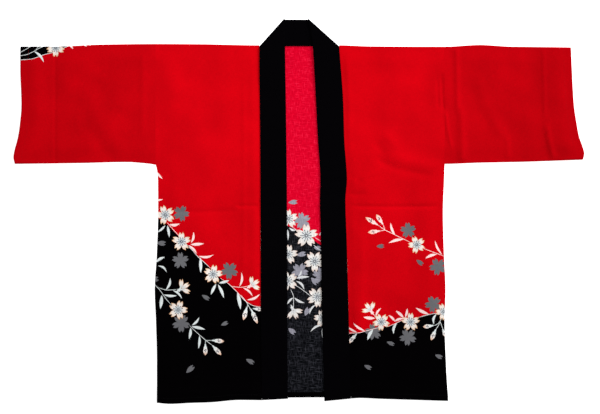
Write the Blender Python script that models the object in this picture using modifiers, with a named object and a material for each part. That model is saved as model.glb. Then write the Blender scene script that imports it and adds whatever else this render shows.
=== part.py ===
# A happi coat laid out flat on its back, arms out, with its open front upwards.
#
# Every piece is a length of cloth: a surface drawn from the garment's sizes, folded where
# the real cloth is folded, and given its wall by Solidify. +X runs towards the right cuff,
# +Y towards the collar and +Z up; the origin lies under the middle of the coat, on the floor.
# "Left" and "right" are as they are seen from above.

import bmesh
import bpy
import numpy as np
from math import cos, exp, hypot, pi, sin
from mathutils import Vector

MM = 0.001

# The cloth. Its layers lie on each other, one LAYER higher each time.
WALL = 1.0 * MM
GAP = 0.3 * MM
LAYER = WALL + GAP
FOLD_RADIUS = LAYER / 2
FOLD_INSET = FOLD_RADIUS + WALL / 2
FOLD_STEPS = 4
FOLD_LIP = 1.0 * MM

# Turned edges, and how far the cloth above a thick edge takes to come down again
HEM_TURN = 12 * MM
CUFF_TURN = 19 * MM
EDGE_RUN = 26 * MM
CLEAR_OF_TURN = 1.5 * MM
SLOPE_LINES = (0, 0.25, 0.5, 0.75, 1)

# The air under the upper layer, and how far in from an edge it takes to build up
AIR = 1.1 * MM
AIR_EDGE = 55 * MM
COLLAR_EDGE = 18 * MM
MOST_AIR = 3.2 * MM

# How closely the panels are drawn, along and across
STEP_ALONG = 24 * MM
STEP_ACROSS = 23 * MM
SLEEVE_STEP = 24 * MM
BESIDE_CREASE = 9 * MM
CLEAR_OF_CREASE = 13 * MM


def table(columns, *rows):
    """A table in millimetres with named columns, one row for each place along its first."""
    return {name: [row[i] * MM for row in rows] for i, name in enumerate(columns.split())}


# The body's sides from hem to underarm, and the upright seams where the sleeves join it
UNDERARM = 104 * MM
ARMHOLES = table("left right", (-315.2, 320.6))
SIDES = table(
    "y left right",
    (-420, -312.1, 328.6),
    (-331, -312.1, 323.5),
    (-239, -314.3, 320.6),
    (-173, -316.9, 322.6),
    (-94, -312.3, 319.1),
    (-1.5, -309.4, 316.9),
    (64, -309.7, 319.3),
    (90, -311.6, 320.2),
    (104, -315.2, 320.6),
)

# The lower edge of the two fronts, and of the back that lies just inside them
LEFT_HEM = table(
    "x y",
    (-312, -420.9),
    (-283, -423.3),
    (-240, -421.3),
    (-195, -419.8),
    (-130, -414.7),
    (-81, -415.1),
)
RIGHT_HEM = table(
    "x y",
    (114, -411.4),
    (134, -410.3),
    (178, -412.1),
    (266, -414.9),
    (328, -416.9),
)
BACK_HEM = table(
    "x y",
    (-312, -418.0),
    (-283, -420.5),
    (-130, -412.2),
    (-24, -409.7),
    (56, -409.2),
    (135, -408.4),
    (266, -412.4),
    (328, -414.4),
)

# The shoulder line, which is the fold of the fronts and of both sleeves
SHOULDER = table(
    "x y",
    (-612, 362.3),
    (-525, 362.8),
    (-437, 366.7),
    (-315, 368.1),
    (-217, 367.6),
    (-88, 365.2),
    (90, 365.2),
    (157, 362.8),
    (320, 362.0),
    (398, 365.9),
    (465, 362.3),
    (509, 361.7),
    (598, 360.4),
)
SLEEVE_BOTTOM = table(
    "x y",
    (-625, 104.1),
    (-481, 106.0),
    (-382, 108.2),
    (-327, 104.3),
    (-312, 101.9),
    (323, 104.1),
    (398, 106.7),
    (486, 108.5),
    (574, 111.5),
    (626, 113.5),
)
CUFFS = table(
    "y left right",
    (103, -624.5, 625.0),
    (116, -627.3, 627.3),
    (131, -625.1, 623.8),
    (157, -618.3, 615.5),
    (183, -613.9, 611.0),
    (234, -609.7, 604.2),
    (315, -612.2, 600.0),
    (363, -611.9, 598.1),
)

# The collar's sections, from each hem up to the neck corner. Each crosses the strip from
# its sewn edge to its free edge, and the tilt is how much higher the free end lies.
LEFT_BAND = table(
    "y seam free tilt",
    (-414.9, -81.1, -23.9, 3.1),
    (-380, -81.4, -24.3, 0),
    (-217, -83.3, -25.2, 0),
    (25, -84.1, -26.1, 0),
    (223, -85.5, -28.3, 0),
    (304, -86.5, -29.6, 0),
    (334, -86.6, -30.4, 29.6),
    (363.1, -86.6, -32.7, 60.2),
)
RIGHT_BAND = table(
    "y seam free tilt",
    (-411.5, 114.3, 56.0, -5.8),
    (-380, 113.3, 55.2, 0),
    (-217, 109.0, 50.5, 0),
    (-63, 105.0, 48.3, 0),
    (25, 102.2, 46.3, 0),
    (69, 105.5, 47.2, 0),
    (157, 99.8, 41.9, 0),
    (245, 97.1, 37.3, 0),
    (304, 93.0, 34.0, 0),
    (334, 90.6, 30.3, 29.6),
    (363.1, 88.3, 21.2, 60.2),
)
NECK_LEVEL_RUN = 55 * MM
NECK_SECTIONS = 6

# Kinks across the collar where the coat was folded for storage
LEFT_KINKS = table("y height reach", (12, 0.8, 9))
RIGHT_KINKS = table("y height reach", (14, 1.0, 9), (60, 1.1, 10))

# At the neck corners the strip turns over: the inner wall, and the outer one round it
INNER_FOLD = FOLD_RADIUS
OUTER_FOLD = FOLD_RADIUS + LAYER
CORNER_INSET = OUTER_FOLD + WALL / 2
CORNER_HEIGHT = WALL / 2 + OUTER_FOLD
CORNER_STEPS = 6
NO_SHIFT = Vector((0, 0))

# The largest creases of the upper layer, each a soft ridge (or a trough, where its height
# is negative) along the arc through three places
CREASES = table(
    "x1 y1 x2 y2 x3 y3 height reach",
    # left sleeve: the long crease where it was folded away, then soft sags
    (-535, 372, -536, 235, -535, 100, -1.0, 7),
    (-548, 372, -548, 235, -549, 100, 0.5, 6),
    (-470, 350, -455, 270, -475, 190, 0.7, 26),
    (-390, 140, -440, 200, -520, 225, 0.8, 24),
    (-322, 330, -330, 230, -318, 130, 0.7, 12),
    # left front: the pull from the underarm, the level storage fold, the turned-back edge
    (-300, 112, -235, 190, -150, 232, 1.1, 22),
    (-305, 150, -260, 235, -205, 330, 0.7, 24),
    (-290, 60, -230, 20, -120, 40, 0.7, 26),
    (-318, 12, -200, 13, -80, 14, -0.9, 8),
    (-280, -120, -220, -180, -130, -190, 0.7, 28),
    (-240, -260, -190, -320, -150, -400, 0.6, 26),
    (-124, 350, -125, 0, -126, -400, 0.7, 8),
    # right sleeve: two long upright creases, a curved one between them, and sags
    (534, 372, 540, 200, 553, 108, 0.9, 8),
    (341, 372, 348, 205, 349, 100, 1.3, 8),
    (330, 372, 336, 205, 338, 100, -0.9, 7),
    (394, 300, 408, 195, 449, 112, 1.2, 10),
    (470, 330, 500, 250, 490, 150, 0.7, 24),
    (318, 315, 322, 220, 333, 140, 0.9, 8),
    # right front: the trough to the underarm, the storage fold, lines beside the collar
    (176, 135, 200, 100, 312, 88, -1.2, 13),
    (170, 165, 220, 122, 318, 116, 0.9, 16),
    (302, 150, 250, 240, 215, 345, 0.6, 24),
    (112, 320, 118, 200, 116, 60, 0.6, 7),
    (126, -8, 127, -130, 124, -270, -0.8, 8),
    (100, 14, 210, 12, 325, 12, -0.9, 8),
    (170, -60, 240, -110, 300, -100, 0.7, 26),
    (200, -240, 230, -310, 215, -400, 0.6, 26),
)
CREASE_PIECES = 8
CREASE_FADE = 0.18

# Where long upright and level creases get lines of their own
TURNED_BACK = 41 * MM
STORED_FOLD = 12 * MM
SLEEVE_CREASES = table("left right", (-535, 345), (-535, 542))
CUFF_POINT = 12 * MM

# The lower edge of the red dye on the fronts and inside the back
LEFT_DYE = table("x y", (-312, -10), (-282, -37), (-245, -75), (-195, -125), (-140, -175), (-80, -210))
RIGHT_DYE = table("x y", (100, -270), (160, -260), (240, -240), (328, -214))
BACK_DYE = table("x y", (-26, -32), (48, -74))

DYE_RED = (0.66, 0.002, 0.006)
REVERSE_RED = (0.78, 0.004, 0.03)
DYE_BLACK = (0.004, 0.004, 0.006)


def follow(rows, along, at, column):
    """The smooth curve through one column of a table, read at a place along it."""
    xs = rows[along]
    ys = rows[column]
    at = min(max(at, xs[0]), xs[-1])
    rises = [(b - a) / (d - c) for a, b, c, d in zip(ys, ys[1:], xs, xs[1:])]
    rises = [rises[0]] + rises + [rises[-1]]
    i = min(max(int(np.searchsorted(xs, at)) - 1, 0), len(xs) - 2)
    start, end = (slope_between(*rises[k : k + 2]) for k in (i, i + 1))
    width = xs[i + 1] - xs[i]
    t = (at - xs[i]) / width
    return (
        ys[i] * (2 * t**3 - 3 * t**2 + 1)
        + ys[i + 1] * (3 * t**2 - 2 * t**3)
        + width * start * (t**3 - 2 * t**2 + t)
        + width * end * (t**3 - t**2)
    )


def slope_between(before, after):
    """A curve's slope at a row of its table, so that it never overshoots the rows."""
    return 2 * before * after / (before + after) if before * after > 0 else 0


def straight(rows, along, at, column):
    return float(np.interp(at, rows[along], rows[column]))


def mix(a, b, share):
    return a + (b - a) * share


def ease(share):
    """From 0 to 1, level at both ends."""
    share = min(max(share, 0), 1)
    return share * share * (3 - 2 * share)


def level(layers):
    """The height of the middle of the cloth with this many layers under it."""
    return WALL / 2 + layers * LAYER


def spaced(length, step):
    """Even shares from 0 to 1, about a step apart."""
    return np.linspace(0, 1, max(round(length / step), 1) + 1)


def past_turn(length, turn, step, creases=()):
    """Shares of a length that starts at a turned edge: close together where the cloth comes
    down off the turn, then about a step apart."""
    slope = [turn + CLEAR_OF_TURN + EDGE_RUN * part for part in SLOPE_LINES]
    rest = spaced(length - slope[-1], step) * (length - slope[-1]) + slope[-1]
    return with_creases([0] + [at / length for at in slope[:-1]] + list(rest / length), length, creases)


def with_creases(shares, length, creases):
    """The shares, with three lines for each crease in place of those beside it."""
    for at in creases:
        shares = [s for s in shares if s in (0, 1) or abs(s * length - at) > CLEAR_OF_CREASE]
        shares += [(at + beside) / length for beside in (-BESIDE_CREASE, 0, BESIDE_CREASE)]
    return sorted(shares)


def half_round(steps=FOLD_STEPS):
    return [pi * i / steps for i in range(steps + 1)]


def arc_through(row):
    """The points of a crease, on the curve through its three places."""
    start, middle, end = (Vector((CREASES[f"x{i}"][row], CREASES[f"y{i}"][row])) for i in (1, 2, 3))
    handle = 2 * middle - (start + end) / 2
    shares = np.linspace(0, 1, CREASE_PIECES + 1)
    return [start * (1 - t) ** 2 + handle * 2 * t * (1 - t) + end * t**2 for t in shares]


ARCS = [arc_through(row) for row in range(len(CREASES["height"]))]


def crease_height(points, height, reach, x, y):
    best = 0.0
    for i, (a, b) in enumerate(zip(points, points[1:])):
        run = b - a
        share = min(max((Vector((x, y)) - a).dot(run) / run.length_squared, 0), 1)
        near = a + run * share
        along = (i + share) / CREASE_PIECES
        fade = ease(along / CREASE_FADE) * ease((1 - along) / CREASE_FADE)
        best = max(best, fade * exp(-((hypot(x - near.x, y - near.y) / reach) ** 2)))
    return best * height


def swell(x, y):
    """How far the upper layer stands off the lower one, before its edges hold it down."""
    creases = sum(
        crease_height(points, height, reach, x, y)
        for points, height, reach in zip(ARCS, CREASES["height"], CREASES["reach"])
    )
    return min(max(AIR + creases, 0), MOST_AIR)


def held(distance, run=AIR_EDGE):
    """0 at an edge that holds the layers together, 1 further in than the run."""
    return ease(distance / run)


def side(y, right):
    column = "right" if right else "left"
    return ARMHOLES[column][0] if y >= UNDERARM else follow(SIDES, "y", y, column)


def collar_seam(y, right):
    """Where the collar's sewn edge crosses this height."""
    rows = RIGHT_BAND if right else LEFT_BAND
    return follow(rows, "y", y, "seam")


def material(name, colour):
    made = bpy.data.materials.new(name)
    made.use_nodes = True
    shader = made.node_tree.nodes["Principled BSDF"]
    shader.inputs["Base Color"].default_value = (*colour, 1)
    shader.inputs["Roughness"].default_value = 0.85
    shader.inputs["Metallic"].default_value = 0
    made.diffuse_color = (*colour, 1)
    return made


def cloth(name, across, along, place, colours, lower_part=None):
    """A wall of cloth: a grid of across by along lines, each crossing put in its place."""
    bm = bmesh.new()
    bmesh.ops.create_grid(bm, x_segments=across - 1, y_segments=along - 1, size=0.5)
    for vert in bm.verts:
        i = round((vert.co.x + 0.5) * (across - 1))
        j = round((vert.co.y + 0.5) * (along - 1))
        vert.co = place(i, j)
    bmesh.ops.remove_doubles(bm, verts=bm.verts, dist=GAP / 100)
    for face in bm.faces:
        centre = face.calc_center_median()
        face.smooth = True
        face.material_index = int(lower_part is not None and centre.y < lower_part(centre.x))
    mesh = bpy.data.meshes.new(name)
    bm.to_mesh(mesh)
    bm.free()
    for number, colour in enumerate(colours):
        mesh.materials.append(material(f"{name}_cloth_{number + 1}", colour))
    piece = bpy.data.objects.new(name, mesh)
    COAT.objects.link(piece)
    wall = piece.modifiers.new("wall", "SOLIDIFY")
    wall.thickness = WALL
    wall.offset = 0
    wall.use_even_offset = True
    wall.use_quality_normals = True
    return piece


def hem_rise(above_hem):
    """1 over the turned-up hems, easing to 0 above them."""
    return 1 - ease((above_hem - HEM_TURN - CLEAR_OF_TURN) / EDGE_RUN)


def front_panel(name, right):
    """One front: its hem turned up inside, its face, and the fold over the shoulder."""
    hem_rows = RIGHT_HEM if right else LEFT_HEM
    outward = 1 if right else -1
    hem_y = hem_rows["y"][0]
    width = abs(side(0, right) - collar_seam(0, right))
    turned_back = () if right else (width - TURNED_BACK,)
    shares = with_creases(list(spaced(width, STEP_ACROSS)), width, turned_back)
    faces = past_turn(SHOULDER["y"][0] - hem_y, HEM_TURN, STEP_ALONG, (STORED_FOLD - hem_y,))

    # Each line across the panel: its share of the way up, its shift in y, its height, and
    # whether it belongs to the face, which alone stands off what lies under it
    lines = [(0, HEM_TURN - FOLD_INSET, level(2), False)]
    lines += [(0, -FOLD_RADIUS * sin(a), level(2.5) - FOLD_RADIUS * cos(a), False) for a in half_round()]
    lines += [(share, 0, level(1), True) for share in faces[1:-1]]
    lines += [(1, FOLD_RADIUS * sin(a), level(0.5) + FOLD_RADIUS * cos(a), False) for a in half_round()]
    lines += [(1, -FOLD_LIP, level(0), False)]

    def place(i, j):
        up, shift, height, is_face = lines[j]
        share = shares[i]
        hem_x = mix(side(hem_y, right), collar_seam(hem_y, right), share)
        top_x = mix(side(SHOULDER["y"][0], right), collar_seam(SHOULDER["y"][0], right), share)
        low = follow(hem_rows, "x", hem_x, "y") + FOLD_INSET
        high = follow(SHOULDER, "x", top_x, "y") - FOLD_INSET
        y = mix(low, high, up) + shift
        seam = collar_seam(y, right) + GAP * outward
        x = mix(side(y, right), seam, share)
        if is_face:
            sides_hold = 1 - (1 - held(abs(x - side(y, right)))) * (1 - held(y - UNDERARM))
            hold = sides_hold * held(high - y) * held(abs(x - seam), COLLAR_EDGE) * held(y - low)
            height += 2 * LAYER * hem_rise(y - low) + swell(x, y) * hold
        return x, y, height

    dye = RIGHT_DYE if right else LEFT_DYE
    return cloth(
        name,
        len(shares),
        len(lines),
        place,
        (DYE_RED, DYE_BLACK),
        lambda x: follow(dye, "x", x, "y"),
    )


def back_panel():
    """The back, flat on the floor, with its hem turned up inside and its top edge raw."""
    shares = spaced(SIDES["right"][0] - SIDES["left"][0], STEP_ACROSS)
    faces = spaced(SHOULDER["y"][0] - BACK_HEM["y"][0], STEP_ALONG)
    lines = [(0, HEM_TURN - FOLD_INSET, level(1))]
    lines += [(0, -FOLD_RADIUS * sin(a), level(0.5) + FOLD_RADIUS * cos(a)) for a in half_round()]
    lines += [(share, 0, level(0)) for share in faces[1:]]

    def place(i, j):
        up, shift, height = lines[j]
        share = shares[i]
        hem_x = mix(SIDES["left"][0], SIDES["right"][0], share)
        low = follow(BACK_HEM, "x", hem_x, "y") + FOLD_INSET
        top_x = mix(side(UNDERARM, False), side(UNDERARM, True), share)
        high = follow(SHOULDER, "x", top_x, "y") - FOLD_INSET - FOLD_LIP - GAP
        y = mix(low, high, up) + shift
        return mix(side(y, False), side(y, True), share), y, height

    return cloth(
        "back",
        len(shares),
        len(lines),
        place,
        (REVERSE_RED, DYE_BLACK),
        lambda x: straight(BACK_DYE, "x", x, "y"),
    )


def sleeve(name, right):
    """A flat tube of cloth, folded at the top and seamed below, with its cuff turned in."""
    inward = -1 if right else 1
    column = "right" if right else "left"
    armhole = ARMHOLES[column][0] - GAP * inward
    length = abs(CUFFS[column][0] - armhole)
    depth = SHOULDER["y"][0] - UNDERARM

    # Each ring: its share of the way to the cuff, its shift beyond, and its inset
    creases = [abs(CUFFS[column][0] - x) for x in SLEEVE_CREASES[column]]
    outer = past_turn(length, CUFF_TURN, SLEEVE_STEP, creases)
    rings = [(1 - share, 0, 0) for share in outer[:0:-1]]
    rings += [(1, FOLD_RADIUS * sin(a), FOLD_RADIUS * (1 - cos(a))) for a in half_round()]
    rings += [(1, FOLD_INSET - CUFF_TURN, LAYER)]

    # Each line along the sleeve: its share of the way up, and its angle on the ring, from
    # 0 on top to pi underneath
    heights = with_creases(list(spaced(depth, SLEEVE_STEP)), depth, (CUFF_POINT,))
    face = [(share, 0) for share in heights[1:-1]]
    lines = [(0, -a) for a in half_round()[::-1]] + face + [(1, a) for a in half_round()]
    lines += [(share, pi) for share in spaced(depth, 5 * SLEEVE_STEP)[::-1][1:]]

    def place(i, j):
        out, beyond, inset = rings[i]
        up, angle = lines[j]
        cuff = follow(CUFFS, "y", mix(UNDERARM, UNDERARM + depth, up), column)
        x = mix(armhole, cuff + FOLD_INSET * inward, out) - beyond * inward
        from_cuff = abs(x - cuff)
        over_turn = 1 - ease((from_cuff - CUFF_TURN - CLEAR_OF_TURN) / EDGE_RUN)
        radius = FOLD_RADIUS + LAYER * over_turn
        bottom = follow(SLEEVE_BOTTOM, "x", x, "y")
        top = follow(SHOULDER, "x", x, "y")
        low = bottom + radius + WALL / 2
        high = top - radius - WALL / 2
        y = mix(low, high, up) + (radius - inset) * sin(angle)
        z = WALL / 2 + radius + (radius - inset) * cos(angle)
        if angle == 0 and 0 < up < 1 and not inset:
            hold = held(y - bottom) * held(top - y) * held(from_cuff)
            z += swell(x, y) * hold
        return x, y, z

    return cloth(name, len(rings), len(lines), place, (DYE_RED,))


def collar():
    """One strip folded in half along its free edge. Behind the neck it lies turned over,
    and each end folds across it at the neck corner and runs down on the front."""
    sections = band_sections(LEFT_BAND, LEFT_KINKS)
    left_corner = sections[-1]
    right_sections = band_sections(RIGHT_BAND, RIGHT_KINKS)[::-1]
    right_corner = right_sections[0]
    sections = sections[:-1] + corner_fold(left_corner, 1)
    for share in np.linspace(0, 1, NECK_SECTIONS + 1)[1:-1]:
        seam = left_corner[0].lerp(right_corner[0], share)
        free = left_corner[1].lerp(right_corner[1], share)
        sections.append((seam, free, NO_SHIFT, pi, CORNER_HEIGHT))
    sections += corner_fold(right_corner, -1)[::-1] + right_sections[1:]

    # Across the strip: the share of the way to the free edge, the shift beyond it, and the
    # distance of the cloth from the middle of the corner folds
    across = [(0, 0, INNER_FOLD)]
    across += [
        (1, FOLD_RADIUS * sin(a), (INNER_FOLD + OUTER_FOLD) / 2 - FOLD_RADIUS * cos(a))
        for a in half_round()
    ]
    across += [(0, 0, OUTER_FOLD)]

    def place(i, j):
        seam, free, outward, turn, height = sections[j]
        share, beyond, reach = across[i]
        run = (free - seam).normalized()
        at = seam.lerp(free - run * FOLD_INSET, share) + run * beyond
        at += outward * (reach * sin(turn) - CORNER_INSET)
        return at.x, at.y, height + reach * cos(turn)

    return cloth("collar", len(across), len(sections), place, (DYE_BLACK,))


def band_sections(rows, kinks):
    """The collar's sections from the hem to the neck corner, lying on the back."""
    sections = []
    start, end = rows["y"][0], rows["y"][-1]
    for share in past_turn(end - start, HEM_TURN, STEP_ALONG, (STORED_FOLD - start,)):
        y = mix(start, end, share)
        seam = Vector((follow(rows, "y", y, "seam"), y))
        free = Vector((follow(rows, "y", y, "free"), y + straight(rows, "y", y, "tilt")))
        over_neck = ease((y - end + 2 * NECK_LEVEL_RUN) / NECK_LEVEL_RUN)
        over_hem = hem_rise(y - start)
        height = CORNER_HEIGHT - LAYER * (1 - max(over_neck, over_hem))
        for at, lift, reach in zip(kinks["y"], kinks["height"], kinks["reach"]):
            height += lift * exp(-(((y - at) / reach) ** 2))
        sections.append((seam, free, NO_SHIFT, 0, height))
    return sections


def corner_fold(corner, turn_side):
    """The half-round where the strip turns over, about the line across its corner."""
    seam, free = corner[:2]
    run = (free - seam).normalized()
    outward = Vector((-run.y, run.x)) * turn_side
    # The sewn edge slides along the fold, from the front's seam line to the back's
    on_front = -CORNER_INSET * abs(outward.x / run.x)
    on_back = CORNER_INSET * outward.y / run.y
    sections = []
    for turn in half_round(CORNER_STEPS):
        slide = mix(on_front, on_back, turn / pi)
        sections.append((seam + run * slide, free, outward, turn, CORNER_HEIGHT))
    return sections


for old in list(bpy.data.objects):
    bpy.data.objects.remove(old, do_unlink=True)

COAT = bpy.data.collections.new("happi_coat")
bpy.context.scene.collection.children.link(COAT)

back_panel()
front_panel("front_left", False)
front_panel("front_right", True)
sleeve("sleeve_left", False)
sleeve("sleeve_right", True)
collar()
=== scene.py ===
from math import cos, pi, radians, sin

import bpy
import numpy as np
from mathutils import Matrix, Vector
from mathutils.geometry import delaunay_2d_cdt


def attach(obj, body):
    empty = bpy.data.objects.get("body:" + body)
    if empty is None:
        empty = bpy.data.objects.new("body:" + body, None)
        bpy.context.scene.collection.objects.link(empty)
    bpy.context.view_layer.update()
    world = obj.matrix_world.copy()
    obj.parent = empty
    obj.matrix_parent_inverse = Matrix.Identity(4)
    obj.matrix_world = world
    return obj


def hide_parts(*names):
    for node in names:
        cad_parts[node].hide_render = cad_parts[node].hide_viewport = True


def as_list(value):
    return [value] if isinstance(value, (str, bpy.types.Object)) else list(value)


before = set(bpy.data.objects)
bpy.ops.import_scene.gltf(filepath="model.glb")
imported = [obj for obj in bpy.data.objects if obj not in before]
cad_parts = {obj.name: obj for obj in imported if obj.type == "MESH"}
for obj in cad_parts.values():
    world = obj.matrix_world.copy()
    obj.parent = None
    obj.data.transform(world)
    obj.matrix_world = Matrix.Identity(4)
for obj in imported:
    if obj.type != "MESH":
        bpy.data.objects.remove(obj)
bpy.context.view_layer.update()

# A happi coat laid out flat on its back. Lengths are in metres, +Y towards the collar, +Z up.
# "Left" and "right" are as they are seen from above.

mm = 0.001

print("coat: sizes")


def table(columns, *rows):
    # named columns of millimetres, one row for each place along the first
    return {name: np.array([row[i] for row in rows]) * mm for i, name in enumerate(columns.split())}


clothStack = {
    "wall": 1.0 * mm,
    "gap": 0.3 * mm,
    "sewnGap": 0.02 * mm,  # at the armholes and the back's top edge, where no floor may show through
    "foldSteps": 8,
    "hemTurn": 12 * mm,
    "cuffTurn": 19 * mm,
    "edgeRun": 26 * mm,
    "cuffRun": 62 * mm,
    "clearOfTurn": 1.5 * mm,
    "lip": 1.0 * mm,
    "air": 1.5 * mm,
    "mostAir": 3.8 * mm,
    "airEdge": 38 * mm,
    "creaseEdge": 13 * mm,
    "collarEdge": 18 * mm,
    "seamPinch": 0.12 * mm,
    "pinchRun": 5 * mm,
    "pinchAboveHem": 20 * mm,
    "sharpAngle": 50,
}
meshSteps = {
    "face": 2.8 * mm, "lying": 9 * mm, "frontHem": 4 * mm, "backHem": 5 * mm, "cuff": 6 * mm, "lip": 1 * mm,
}
wall = clothStack["wall"]
layer = wall + clothStack["gap"]
foldRadius = layer / 2
foldInset = foldRadius + wall / 2
halfTurn = pi * foldRadius
foldStep = halfTurn / clothStack["foldSteps"]
closeTo = 1e-7  # two places nearer than this are one

outline = {
    "underarm": 104 * mm,
    "armholeLeft": -315.2 * mm,
    "armholeRight": 320.6 * mm,
    "sides": table(
        "y left right",
        (-420, -312.1, 328.6), (-331, -312.1, 323.5), (-239, -314.3, 320.6), (-173, -316.9, 322.6),
        (-94, -312.3, 319.1), (-1.5, -309.4, 316.9), (64, -309.7, 319.3), (90, -311.6, 320.2),
        (104, -315.2, 320.6),
    ),
    "leftHem": table(
        "x y",
        (-312, -420.9), (-283, -423.3), (-240, -421.3), (-195, -419.8), (-130, -414.7), (-81, -415.1),
    ),
    "rightHem": table("x y", (114, -411.4), (134, -410.3), (178, -412.1), (266, -414.9), (328, -416.9)),
    "backHem": table(
        "x y",
        (-312, -418.0), (-283, -420.5), (-130, -412.2), (-24, -409.7), (56, -409.2), (135, -408.4),
        (266, -412.4), (328, -414.4),
    ),
    "shoulder": table(
        "x y",
        (-612, 362.3), (-525, 362.8), (-437, 366.7), (-315, 368.1), (-217, 367.6), (-88, 365.2),
        (90, 365.2), (157, 362.8), (320, 362.0), (398, 365.9), (465, 362.3), (509, 361.7), (598, 360.4),
    ),
    "sleeveBottom": table(
        "x y",
        (-625, 104.1), (-481, 106.0), (-382, 108.2), (-327, 104.3), (-312, 101.9), (323, 104.1),
        (398, 106.7), (486, 108.5), (574, 111.5), (626, 113.5),
    ),
    "cuffs": table(
        "y left right",
        (103, -624.5, 625.0), (116, -627.3, 627.3), (131, -625.1, 623.8), (157, -618.3, 615.5),
        (183, -613.9, 611.0), (234, -609.7, 604.2), (315, -612.2, 600.0), (363, -611.9, 598.1),
    ),
}

# The creases: the arc through three places, how high each stands or how deep it sinks, how far
# it reaches to each side, and how crisp its crest is in thousandths
creases = table(
    "x1 y1 x2 y2 x3 y3 height reach crisp",
    # left sleeve
    (-535.5, 430, -535.5, 235, -536, 40, -0.6, 3, 500),
    (-480, 272, -436, 204, -380, 116, 0.9, 19, 0),
    (-478, 214, -446, 160, -416, 118, -0.7, 14, 0),
    (-450, 306, -434, 293, -422, 276, 0.7, 17, 0),
    (-408, 258, -396, 240, -386, 226, 0.6, 16, 0),
    (-404, 204, -392, 190, -384, 172, 0.5, 14, 0),
    (-344, 352, -343, 262, -345, 150, 0.6, 7, 100),
    (-486, 340, -470, 300, -474, 268, 0.5, 24, 0),
    # left front
    (-282, 286, -252, 196, -130, 64, 1.7, 38, 0),
    (-296, 160, -262, 110, -212, 60, -0.7, 26, 0),
    (-290, 60, -230, 16, -120, 44, 0.5, 24, 0),
    (-300, 0, -206, -1, -126, 3, -0.8, 6, 0),
    (-138, 11, -112, 12, -86, 12, -1.3, 4, 300),
    (-280, -120, -220, -180, -130, -190, 0.7, 26, 0),
    (-240, -260, -190, -320, -150, -400, 0.7, 26, 0),
    (-121, 354, -121, 0, -122, -405, 0.5, 5, 300),
    # right sleeve
    (537, 420, 538, 305, 541, 190, 0.75, 4.5, 400),
    (544, 196, 552, 146, 569, 84, 1.5, 7, 200),
    (346, 430, 347, 320, 349, 206, 1.6, 6, 200),
    (355, 236, 358, 160, 359, 66, 2.2, 10, 200),
    (322, 226, 327, 180, 338, 128, 1.1, 3.4, 300),
    (394, 304, 414, 228, 462, 144, 1.1, 13, 0),
    (458, 166, 459, 138, 460, 110, 0.8, 7, 0),
    (478, 330, 508, 250, 492, 130, 0.7, 24, 0),
    (425, 150, 470, 134, 520, 128, 0.5, 16, 0),
    # right front
    (313, 306, 315, 262, 318, 214, -1.5, 3.6, 500),
    (305, 300, 306, 258, 308, 220, -1.1, 3.2, 300),
    (182, 144, 228, 114, 324, 97, 1.2, 13, 0),
    (170, 122, 214, 95, 312, 76, -1.2, 9, 100),
    (190, 168, 203, 153, 214, 140, 1.4, 12, 0),
    (170, 148, 181, 136, 192, 124, -1.1, 10, 0),
    (112, 66, 145, 76, 180, 88, 0.4, 5, 0),
    (302, 150, 250, 240, 215, 345, 0.6, 26, 0),
    (106, 345, 109, 200, 106, 50, 0.6, 6, 200),
    (135, -20, 137, -150, 133, -330, 1.3, 12, 0),
    (104, 12, 210, 10, 325, 12, -1.4, 4.5, 300),
    (112, 38, 128, 37, 150, 39, -0.8, 6, 200),
    (112, 74, 124, 72, 136, 66, -0.6, 7, 0),
    (170, -60, 240, -110, 300, -100, 0.7, 24, 0),
    (200, -240, 230, -310, 215, -400, 0.7, 26, 0),
)
creaseShape = {"pieces": 10, "fade": 0.18, "crestFall": 1.5, "crestRound": 0.02, "crestTop": 0.14}


def follow(rows, along, at, column):
    # the smooth curve through one column, never above or below its rows
    xs, ys = rows[along], rows[column]
    at = np.clip(at, xs[0], xs[-1])
    rises = np.diff(ys) / np.diff(xs)
    before = np.concatenate([rises[:1], rises])
    after = np.concatenate([rises, rises[-1:]])
    agree = before * after > 0
    slopes = np.where(agree, 2 * before * after / np.where(agree, before + after, 1), 0)
    i = np.clip(np.searchsorted(xs, at) - 1, 0, len(xs) - 2)
    width = xs[i + 1] - xs[i]
    t = (at - xs[i]) / width
    return (
        ys[i] * (2 * t**3 - 3 * t**2 + 1)
        + ys[i + 1] * (3 * t**2 - 2 * t**3)
        + width * slopes[i] * (t**3 - 2 * t**2 + t)
        + width * slopes[i + 1] * (t**3 - t**2)
    )


def mix(a, b, share):
    return a + (b - a) * share


def ease(share):
    share = np.clip(share, 0, 1)
    return share * share * (3 - 2 * share)


def level(layers):
    return wall / 2 + layers * layer


def spread(start, end, step):
    return np.linspace(start, end, max(round(abs(end - start) / step), 1) + 1)


def joined(*runs):
    # runs of flat places one after another, each shared end kept once
    places = np.concatenate(runs)
    return places[np.concatenate([[True], np.diff(places) > closeTo])]


def sideName(right):
    return "right" if right else "left"


def sideOf(y, right):
    armhole = outline["armholeRight" if right else "armholeLeft"]
    return np.where(y >= outline["underarm"], armhole, follow(outline["sides"], "y", y, sideName(right)))


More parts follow.
